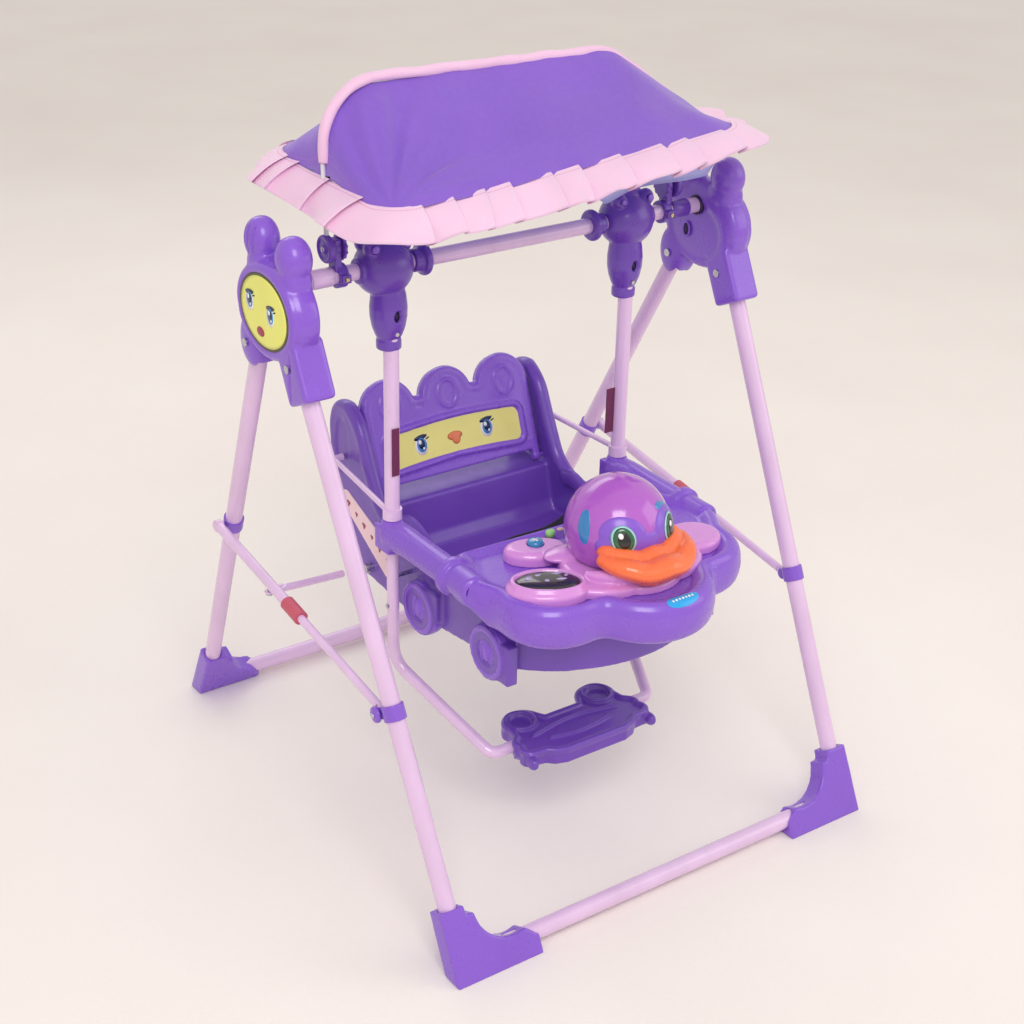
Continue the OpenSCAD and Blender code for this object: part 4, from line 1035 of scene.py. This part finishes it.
def toy_base_shape():
    def disc_at(x, y, a, b, low=545.1, high=566.5, turned=0, round_by=9):
        return plate(oval(a, b, 48, x, y, turned), low, high, round_by)
    parts = [disc_at(-160, -350, 68, 48, turned=-28), disc_at(-104, -238, 54, 36, high=568,
        turned=-22, round_by=12),
             disc_at(0, -330, 108, 92, high=564), disc_at(146, -336, 52, 46, high=564),
             disc_at(104, -236, 56, 38, high=568, turned=20, round_by=12),
             disc_at(-62, -392, 64, 34, high=562, turned=-14),
             disc_at(62, -392, 64, 34, high=562, turned=14), disc_at(0, -408, 56, 34, high=560)]
    arc = [(104 * math.sin(t), -322 - 96 * math.cos(t), 566 + 7 * math.cos(t) ** 2)
        for t in np.linspace(-1.15, 1.15, 40)]
    parts.append(tube(arc, [6 + 9 * math.cos(t * 1.25) for t in np.linspace(-1.15, 1.15, 40)],
        side=(0, 0, 1)))
    parts.append(ellipsoid((-78, -284, 566), (40, 26, 9)))
    parts.append(ellipsoid((78, -284, 566), (40, 26, 9)))
    lens = [(*display_point(57 * math.cos(t), 35 * math.sin(t)), 568)
        for t in np.linspace(0, 2 * math.pi, 56, endpoint=False)]
    parts.append(tube(lens, 5, 4.2, side=(0, 0, 1), closed=True))
    s = fused(joined(*parts), 1.8, 5)
    s[0][:, 2] = np.maximum(s[0][:, 2], 545.1)
    for (x, y), r in (((-100, -232), 14), ((-58, -216), 12)):
        s = pushed(s, (x, y, 572), (r, r, 20), (0, 0, -9), lambda p: p[:, 2] > 556, 12)
        near = (s[0][:, 0] - x) ** 2 + (s[0][:, 1] - y) ** 2 < (r - 1) ** 2
        s[0][near & (s[0][:, 2] > 556), 2] = 559.0
    return s


piece("toy_base_shell", toy_base_shape(), TOY_PINK, "tray", ["toy_base"])
piece("toy_display", moved(oval_patch(54, 32, 7.5, 10, 64), (*DISPLAY, 567.6), turn("Z", -30)),
    LENS, "tray", ["toy_lamp"])
marks = []
for u, v, a, b, t in ((-24, 2, 8, 6, 30), (-12, 8, 5, 4, 0), (10, 12, 13, 4.2, -6),
        (22, 8, 9, 3.4, 20),
                      (-2, -6, 4, 5, 0), (16, -2, 9, 4, -24)):
    r = math.hypot(u * 1.3 / 54, v * 1.3 / 32)
    marks.append(moved(prism(oval(a, b * 0.8, 24, turned=t), 0, 0.35),
                       (*display_point(u * 1.3, v * 1.3),
                       567.6 + 7.5 * math.sqrt(1 - r ** 2.6) - 0.1)))
piece("toy_display_marks", joined(*marks), LENS_MARK, "tray")

piece("toy_key_round_cap",
    moved(joined(lathe([(0, 560.4), (13.4, 560.4), (13.4, 570), (12.2, 573.4), (9.6, 574.6),
    (0, 575)], 44)),
      (-100, -232, 0)), KEY_BLUE, "toy_key_round", ["toy_button_round"])
piece("toy_key_round_mark",
    moved(joined(prism(oval(6, 1.6, 20, turned=25), 574.7, 575.3),
    prism(oval(4, 1.4, 20, 1, -3.4, 60), 574.7, 575.3),
      prism(oval(3, 1.4, 20, -2, 3.4, 10), 574.7, 575.3)), (-100, -232, 0)), WHITE, "toy_key_round")
piece("toy_key_leaf_cap", moved(plate(oval(10.0, 7.8, 44, turned=20), 562.0, 573.5, 4),
    (-58, -216, 0)), LEAF,
      "toy_key_leaf", ["toy_button_leaf"])
piece("toy_spot", moved(oval_patch(7, 5.5, 2.0, 5, 24), (-30, -206, 563.5)), TAN, "tray")

finish_node(ORCHID, "toy_head")


def on_dome(s, lift):
    """Wraps a shape drawn in X-Z round the head's front onto its dome; Y is height off the dome."""
    p = s[0]
    d = np.stack([p[:, 0], -np.sqrt(np.maximum(1, HEAD_R ** 2 - p[:, 0] ** 2 - p[:, 1] ** 2)),
        p[:, 1]], axis=1)
    d /= np.linalg.norm(d, axis=1)[:, None]
    return HEAD + d * (HEAD_R + lift + p[:, 2:3]), s[1]


def dome_patch(a, b, dome, cx, cz, lift, turned=0, n=48):
    p, f = oval_patch(a, b, dome, 8, n)
    c, s = math.cos(math.radians(turned)), math.sin(math.radians(turned))
    q = np.stack([cx + c * p[:, 0] - s * p[:, 1], cz + s * p[:, 0] + c * p[:, 1], p[:, 2]], axis=1)
    return on_dome((q, f), lift)


mask = fused(joined(dome_patch(35, 35, 5.5, -40, 18, -1.5), dome_patch(35, 35, 5.5, 40, 18, -1.5),
                    dome_patch(46, 17, 4.4, 0, 8, -1.5), dome_patch(12, 18, 4.6, -66, 2, -1.5),
                    dome_patch(12, 18, 4.6, 66, 2, -1.5)), 1.3, 5)
piece("toy_mask_shell", mask, VIOLET, "tray", ["toy_mask"])
for tag, x in (("a", -44), ("b", 44)):
    steps = (("rim", 17.0, 22.0, 1.8, 4.2, PALE_TEAL), ("iris", 14.0, 19.0, 2.0, 5.2, IRIS_GREEN),
             ("pupil", 8.0, 12.4, 1.2, 7.0, BLACK))
    for name, a, b, dome, lift, mat in steps:
        cover = ["toy_eyes"] if (name, tag) == ("rim", "a") else []
        piece("toy_eye_%s_%s" % (name, tag), dome_patch(a, b, dome, x, 17, lift), mat, "tray",
            cover)
    # painted highlight: a white spot on each domed eye stands in for a reflection of the light
    piece("toy_eye_glint_" + tag, dome_patch(3.2, 4.4, 0.8, x - 4, 24, 8.0), WHITE, "tray")


def patch_towards(a, b, dome, way, lift, turned):
    """A domed oval laid on the head, centred where the direction way comes out of it."""
    p, f = oval_patch(a, b, dome, 8, 48)
    way = Vector(way).normalized()
    c, s = math.cos(math.radians(turned)), math.sin(math.radians(turned))
    x, y = c * p[:, 0] - s * p[:, 1], s * p[:, 0] + c * p[:, 1]
    side = way.cross(Vector((0, 0, 1))).normalized()
    axes = np.array([side, side.cross(way), way])
    d = np.stack([x, y, np.sqrt(HEAD_R ** 2 - x * x - y * y)], axis=1) @ axes / HEAD_R
    return HEAD + d * (HEAD_R + lift + p[:, 2:3]), f


for tag, way, a, b, tilt in (("a", (-0.93, -0.18, 0.30), 13, 30, -14),
        ("b", (0.50, -0.66, 0.56), 24, 9, 24)):
    piece("toy_visor_" + tag, patch_towards(a, b, 1.1, way, -0.3, tilt), TEAL, "tray")


def beak_shape():
    n = 33
    t = np.linspace(-1, 1, n)
    x = 78 * np.sin(t * 1.35) / math.sin(1.35)
    y = -318 - 62 - 72 * np.cos(t * 1.45) ** 0.8
    z = 588 + 9 * np.abs(t) ** 1.6 + 3.5 * np.cos(3 * math.pi * t) * (1 - np.abs(t))
    fat = 17.5 - 5.5 * np.abs(t) ** 2
    deep = 24 - 11 * np.abs(t) ** 1.5
    upper = [ellipsoid((x[i], y[i] + 8, z[i]), (deep[i] * 0.95, deep[i], fat[i]), 20, 12)
        for i in range(n)]
    upper += [ellipsoid((x[i] * 0.78, -318 - 92 * math.cos(t[i] * 0.9), z[i] + 7), (20, 20, 15), 20,
        12) for i in range(0, n, 2)]
    lower = [ellipsoid((x[i] * 0.8, y[i] + 13, z[i] - 17 + 2 * abs(t[i])), (17, 17, 8.5), 20, 12)
        for i in range(4, n - 4, 2)]
    s = fused(joined(*(upper + lower)), 1.7, 7)
    d = s[0] - HEAD
    r = np.linalg.norm(d, axis=1)
    inside = r < 87.6
    s[0][inside] = (HEAD + d * (87.6 / r)[:, None])[inside]
    s[0][:, 2] = np.maximum(s[0][:, 2], 562)
    return s


piece("toy_beak_shell", beak_shape(), ORANGE, "tray", ["toy_beak"])

# ---- Canopy ----
HEM_X, HEM_Y, HEM_H, RIDGE_H, CORNER = 352.0, 185.0, 1165.0, 1305.0, 62.0
EDGE_X, EDGE_Y = 346.0, 183.0
ROD_GAP = 3.5


# The ridge rod and the hem wire
RIDGE = [(-345, 0, 1058), (-352, 0, 1305), (190, 0, 1298), (345, 0, 1192), (345, 0, 1058)]


def arcs(points, radii, step=4):
    """Corners turned into true arcs of these radii."""
    p = [np.array(x, float) for x in points]
    bends = []
    for i in range(1, len(p) - 1):
        a = (p[i] - p[i - 1]) / np.linalg.norm(p[i] - p[i - 1])
        b = (p[i + 1] - p[i]) / np.linalg.norm(p[i + 1] - p[i])
        bends.append(radii[i - 1] * math.tan(math.acos(float(np.clip(a @ b, -1, 1))) / 2))
    out = [p[0]]
    for i in range(1, len(p) - 1):
        a = (p[i - 1] - p[i]) / np.linalg.norm(p[i - 1] - p[i])
        b = (p[i + 1] - p[i]) / np.linalg.norm(p[i + 1] - p[i])
        mid = (a + b) / np.linalg.norm(a + b)
        r = radii[i - 1]
        c = p[i] + mid * math.hypot(bends[i - 1], r)
        s, e = p[i] + a * bends[i - 1] - c, p[i] + b * bends[i - 1] - c
        whole = math.acos(float(np.clip(s @ e / r / r, -1, 1)))
        for k in np.linspace(0, 1, 14):
            out.append(c + (s * math.sin((1 - k) * whole) + e * math.sin(k * whole)) /
                math.sin(whole))
    out.append(p[-1])
    return resampled(out, step)


ridge = arcs(RIDGE, (95, 110, 40))


def hem_height(x, y):
    return HEM_H + 10 * (x / HEM_X) * (1 - y / HEM_Y)


def ridge_height(x):
    """How high the cloth stands over the hem under the ridge rod: round on the left, sloped on
    the right."""
    left = np.clip((x + EDGE_X) / 95, 0, 1)
    under_rod = [p for p in ridge if p[0] > -250 and p[2] > 1171]
    along = np.array([p[0] for p in under_rod] + [EDGE_X])
    high = np.array([p[2] - ROD_GAP for p in under_rod] + [HEM_H]) - HEM_H
    return np.minimum((RIDGE_H - ROD_GAP - HEM_H) * (1 - (1 - left) ** 2) ** (1 / 3),
        np.interp(x, along, high))


def half_width(x):
    over = np.clip(np.abs(x) - (EDGE_X - CORNER), 0, CORNER)
    return EDGE_Y - CORNER + np.sqrt(CORNER ** 2 - over ** 2)


def cloth_point(x, u, drop=0.0, wrinkled=1.0):
    """A point of the stretched cloth at x along the bar and u = -1 (front hem) .. 1 (rear hem)."""
    w = half_width(x)
    y = u * w
    a = np.abs(u)
    rise = ridge_height(x)
    sag = 0.16 * np.sin(math.pi * a) * rise * 0.45
    z = hem_height(x, y) + rise * (1 - a ** 1.08) - sag
    # creases fan out from the front left corner, and shallow waves run in from the hem
    cx, cy = x + 330, y + 170
    ang, far = np.arctan2(cy, cx), np.hypot(cx, cy)
    fan = np.sin(ang * 11 + 0.6) * np.exp(-((far - 190) / 150) ** 2) + 0.6 * np.sin(ang * 23 +
        1.3) * np.exp(-((far - 110) / 70) ** 2)
    hem_wave = np.sin(x / 23.0 + 1.7 * np.sin(x / 71.0)) * np.exp(-((1 - a) / 0.17) ** 2)
    long_wave = np.sin(x / 61 + y / 37 + 0.8) * np.sin(y / 53 - x / 140) * (1 - a) * a * 3.2
    shoulder = np.sin((x + y * 0.8) / 26) * np.exp(-((x - 250) / 60) ** 2) * a * (1 - a) * 3
    wrinkled = wrinkled * np.clip(a / 0.16, 0, 1) ** 1.5
    z = z + wrinkled * (7.0 * fan * (1 - a ** 6) + 2.2 * hem_wave + 7.0 * long_wave +
        4.0 * shoulder)
    return np.stack([x, y, z - drop], axis=-1)


def cloth_sheet(nx, nu, drop, thick, wrinkled=1.0, shrink=1.0):
    t = np.linspace(0, math.pi, nx)
    xs = -EDGE_X * shrink * np.cos(t)
    us = np.sin(np.linspace(-math.pi / 2, math.pi / 2, nu))
    us = 0.6 * us + 0.4 * np.linspace(-1, 1, nu)
    x, u = np.meshgrid(xs, us * shrink, indexing="ij")
    top = cloth_point(x, u, drop, wrinkled).reshape(-1, 3)
    low = top - np.array([0, 0, thick])
    f = grid_faces(nx, nu)
    n = nx * nu
    f += [tuple(i + n for i in reversed(q)) for q in f]
    rim = [i * nu for i in range(nx)] + [(nx - 1) * nu + j for j in range(1, nu)]
    rim += [i * nu + nu - 1 for i in range(nx - 2, -1, -1)] + [j for j in range(nu - 2, 0, -1)]
    for k, a in enumerate(rim):
        b = rim[(k + 1) % len(rim)]
        f.append((b, a, a + n, b + n))
    return np.vstack([top, low]), [tuple(reversed(q)) for q in f]


def area_of(s):
    p, total = s[0], 0.0
    for q in s[1]:
        for i in range(1, len(q) - 1):
            total += np.linalg.norm(np.cross(p[q[i]] - p[q[0]], p[q[i + 1]] - p[q[0]])) / 2
    return total * MM * MM


def sheet_piece(name, s, mat, replaces, flat_width):
    obj = piece(name, s, mat, "canopy", replaces)
    round(area_of(s) / 2 / flat_width, 4)
    return obj


cover = cloth_sheet(170, 96, 0, 1.0)
lining = cloth_sheet(120, 60, 5.5, 0.8, 0.85, 0.992)


def hem_at(a, g):
    """The hem's rounded outline, grown outwards by g, at an angle in degrees."""
    c, s = math.cos(math.radians(a)), math.sin(math.radians(a))
    sx, sy = (1 if c >= 0 else -1), (1 if s >= 0 else -1)
    return np.array([sx * (HEM_X - CORNER) + (CORNER + g) * c,
        sy * (HEM_Y - CORNER) + (CORNER + g) * s])


def hem_line(g, step=3.0):
    """Points round the hem every few millimetres, from the middle of the rear edge."""
    pts = [hem_at(a, g) for a in np.linspace(90.01, 450, 360, endpoint=False)]
    p = resampled([(x, y, 0) for x, y in pts], step, closed=True)
    p[:, 2] = hem_height(p[:, 0], p[:, 1])
    return p


wire = hem_line(-8, 8)
wire[:, 2] -= 10
frame_rods = joined(tube(ridge, 3.8, side=(0, 1, 0), n=16), tube(wire, 2.0, side=(0, 0, 1), n=10,
    closed=True))
pins = [to_x(moved(lathe([(0, 0), (4, 0), (4, 25), (0, 25)]), (0, 1046, 0)))]
frame_rods = joined(frame_rods, both(moved(pins[0], (-347, 0, 0))))
piece("canopy_rods", frame_rods, ROD, "canopy", ["canopy_frame"])


FRILL_HEAD, FRILL_WIDE, FRILL_ROWS = 7.0, 66.0, 15


def frill_shape():
    """Knife pleats sewn round the hem: the cloth runs forward, folds back under itself and on
    again."""
    rng = random.Random(7)
    line = hem_line(-3, 1.5)
    seg = np.linalg.norm(np.diff(np.vstack([line, line[:1]]), axis=0), axis=1)
    total = float(seg.sum())
    at, pleats = 0.0, []
    while at < total - 40:
        w = min(rng.choice((44, 58, 74, 92, 108)) * rng.uniform(0.85, 1.15), total - at)
        if total - (at + w) < 40:
            w = total - at
        pleats.append((at, w, rng.uniform(13, 26), rng.uniform(4.0, 8.5), rng.uniform(-1.3, 1.3)))
        at += w
    knots = []
    for s0, w, over, high, kick in pleats:
        for t in np.linspace(0.0, 0.94, 8):
            knots.append((s0 + (w + over) * t,
                0.6 + (high - 0.6) * t ** 1.6 + 0.7 * math.sin(math.pi * t) * kick, over * t,
                kick * t))
        knots.append((s0 + w + over, high * 0.98, over, kick))
        knots.append((s0 + w + over * 0.93, high * 0.78, over * 0.95, kick * 0.9))
        knots.append((s0 + w + over * 0.3, high * 0.36, over * 0.5, kick * 0.4))
    knots = np.array(knots)
    closed = np.vstack([knots[-1:] - [total, 0, 0, 0], knots, knots[:1] + [total, 0, 0, 0]])
    fine = []
    for i in range(1, len(closed) - 1):
        a, b, c = closed[i - 1], closed[i], closed[i + 1]
        fine += [0.25 * a + 0.75 * b, 0.75 * b + 0.25 * c]
    fine = np.array(fine)
    n = len(fine)
    rows, wide = FRILL_ROWS, FRILL_WIDE
    vs = np.linspace(0, 1, rows)
    dist = np.r_[0, np.cumsum(seg)]
    loop = np.vstack([line, line[:1]])
    grid = np.empty((n, rows, 3))
    mid_run = np.cumsum(np.r_[0, np.hypot(np.diff(fine[:, 0]), np.diff(fine[:, 1]))])
    for j, v in enumerate(vs):
        s = fine[:, 0] - fine[:, 2] * 0.45 * v
        s = np.mod(s, total)
        p = np.stack([np.interp(s, dist, loop[:, k]) for k in range(3)], axis=1)
        q = np.stack([np.interp(np.mod(s + 4, total), dist, loop[:, k]) for k in range(3)], axis=1)
        t = q - p
        t[:, 2] = 0
        t /= np.linalg.norm(t, axis=1)[:, None]
        out = np.stack([t[:, 1], -t[:, 0], np.zeros(n)], axis=1)
        flip = np.sign((out[:, :2] * (p[:, :2] / [HEM_X, HEM_Y])).sum(axis=1))
        out *= flip[:, None]
        # the band leaves the hem outwards and bends down towards its free edge
        start = math.radians(24) - math.radians(19) * np.clip((p[:, 0] + 60) / 300, 0, 1)
        bend = start + math.radians(30) * v
        run = wide * v
        go, fall = run * np.cos(0.5 * (bend + start)), run * np.sin(0.5 * (bend + start))
        wavy = np.sin(s / 19.0 + 2.4 * np.sin(s / 61.0)) * 8.5 * v ** 1.2 + np.sin(s / 12.7 +
            2 * np.sin(s / 60)) * 2.2 * v * v
        lift = fine[:, 1] * (0.9 + 1.5 * v) + wavy
        normal = out * np.sin(bend)[:, None] + np.array([0, 0, 1]) * np.cos(bend)[:, None]
        grid[:, j] = p + out * (go - FRILL_HEAD)[:, None]
        grid[:, j, 2] += -fall + 1.5
        grid[:, j] += normal * lift[:, None] + t * (fine[:, 3] * 3.0 * v)[:, None]
        grid[:, j] += out * (2.5 * np.sin(s / 47.0 + 0.5) * v)[:, None]
    top = grid.reshape(-1, 3)
    d1 = np.roll(grid, -1, axis=0) - np.roll(grid, 1, axis=0)
    d2 = np.gradient(grid, axis=1)
    nrm = np.cross(d2, d1).reshape(-1, 3)
    nrm /= np.maximum(1e-9, np.linalg.norm(nrm, axis=1))[:, None]
    low = top - nrm * 0.7
    f = grid_faces(n, rows, wrap_rows=True)
    k = n * rows
    f = f + [tuple(i + k for i in reversed(q)) for q in f]
    for i in range(n):
        a, b = i * rows, ((i + 1) % n) * rows
        f.append((b, a, a + k, b + k))
        a, b = a + rows - 1, b + rows - 1
        f.append((a, b, b + k, a + k))
    uv = np.column_stack([np.repeat(mid_run, rows), np.tile(vs * wide, n)])
    return (np.vstack([top, low]), f), np.vstack([uv, uv]) * MM


def with_uv(obj, uv):
    layer = obj.data.uv_layers.new(name="cloth")
    loops = np.empty(len(obj.data.loops), int)
    obj.data.loops.foreach_get("vertex_index", loops)
    layer.data.foreach_set("uv", uv[loops].ravel())


frill_mesh, frill_uv = frill_shape()
frill = sheet_piece("canopy_frill", frill_mesh, FRILL, ["canopy_ruffle"], 0.066)
with_uv(frill, frill_uv)


def sleeve_shape():
    """The binding that wraps the ridge rod: wide at the left end, narrower along the top."""
    keep = [p for p in ridge if p[2] > 1182 and p[0] < 322]
    line = resampled(keep, 3)
    s = np.r_[0, np.cumsum(np.linalg.norm(np.diff(line, axis=0), axis=1))]
    wide = 9.5 - 3.2 * np.clip((s - 120) / 160, 0, 1) + 0.7 * np.sin(s / 17) + 0.5 * np.sin(s / 7.3)
    tall = 8.2 + 0.5 * np.sin(s / 11.0 + 1)
    ahead = np.gradient(line, axis=0)
    inward = np.cross(np.array([0, 1, 0]), ahead / np.linalg.norm(ahead, axis=1)[:, None])
    line = line + inward * 2.8 + np.stack([np.zeros_like(s), 0.8 * np.sin(s / 23),
        0.6 * np.sin(s / 15.0)], axis=1)
    n = 22
    p, f = tube(line, wide, tall, side=(0, 1, 0), n=n)
    uv = np.column_stack([np.repeat(s, n), np.tile(np.linspace(0, 2, n) * 14, len(s))]) * MM
    return (p, f), uv


sleeve_mesh, sleeve_uv = sleeve_shape()
sleeve_obj = piece("canopy_binding", sleeve_mesh, TAPE, "canopy", ())
with_uv(sleeve_obj, sleeve_uv)
sheet_piece("canopy_cloth", cover, CANOPY, ["canopy_cover"], 0.37)
sheet_piece("canopy_lining", lining, LINING, [], 0.37)


def lining_edge():
    """The lining's pale hem, which hangs loose under the front right of the frill."""
    xs = np.linspace(-20, 318, 90)
    rows = 7
    grid = np.empty((len(xs), rows, 3))
    for j, v in enumerate(np.linspace(0, 1, rows)):
        deep = 52 + 5 * np.sin(xs / 37.0 + 0.6)
        deep = deep * np.clip((xs + 20) / 70, 0.12, 1) * np.clip((318 - xs) / 50, 0.12, 1)
        grid[:, j, 0] = xs + 3 * v * np.sin(xs / 29.0)
        grid[:, j, 1] = -HEM_Y + 14 - v * (7 + 5 * np.sin(xs / 24.0))
        grid[:, j, 2] = hem_height(xs, -HEM_Y) - 9 - v * deep
    top = grid.reshape(-1, 3)
    n = len(top)
    f = grid_faces(len(xs), rows)
    f += [tuple(i + n for i in reversed(q)) for q in f]
    rim = [i * rows for i in range(len(xs))] + [(len(xs) - 1) * rows + j for j in range(1, rows)]
    rim += [i * rows + rows - 1 for i in range(len(xs) - 2, -1, -1)] + [j
        for j in range(rows - 2, 0, -1)]
    f += [(rim[(k + 1) % len(rim)], a, a + n, rim[(k + 1) % len(rim)] + n)
        for k, a in enumerate(rim)]
    return np.vstack([top, top + np.array([0, 0.8, 0])]), [tuple(reversed(q)) for q in f]


sheet_piece("canopy_lining_hem", lining_edge(), LINING, [], 0.042)

# ---- Floor and studio light ----
def make_stage():
    floor = build("floor", shape([(-2e4, -2e4, 0), (2e4, -2e4, 0), (2e4, 2e4, 0), (-2e4, 2e4, 0)],
        [(0, 1, 2, 3)]))
    m = Mat("pale_floor")
    m.set(Base_Color=m.ramp(m.noise(1.5, 3), (0.3, hexed("#F1EAE5")), (0.7, hexed("#F5EFEA"))),
        Roughness=0.85)
    m.bump(m.noise(260, 3), 0.25, 0.002)
    floor.data.materials.append(m.m)

    def lamp(name, place, aim, size, power, colour):
        data = bpy.data.lights.new(name, "AREA")
        data.shape = "RECTANGLE"
        data.size, data.size_y = size
        data.energy = power
        data.color = colour
        obj = bpy.data.objects.new(name, data)
        obj.location = place
        obj.rotation_euler = (Vector(aim) - Vector(place)).to_track_quat("-Z", "Y").to_euler()
        bpy.context.scene.collection.objects.link(obj)

    lamp("key", (-1.6, -2.6, 3.4), (0, 0, 0.7), (1.8, 1.8), 66, (1.0, 0.985, 0.96))
    lamp("fill", (2.8, -2.4, 2.2), (0, 0, 0.6), (2.2, 2.2), 20, (1.0, 0.98, 0.97))
    lamp("back", (0.6, 2.8, 2.8), (0, 0, 0.8), (2.4, 1.4), 18, (0.98, 0.98, 1.0))
    world = bpy.data.worlds.new("studio")
    world.use_nodes = True
    sky = world.node_tree.nodes["Background"]
    sky.inputs[0].default_value = hexed("#FBF6F2")
    sky.inputs[1].default_value = 0.78
    bpy.context.scene.world = world
    bpy.context.scene.view_settings.view_transform = "Standard"


make_stage()
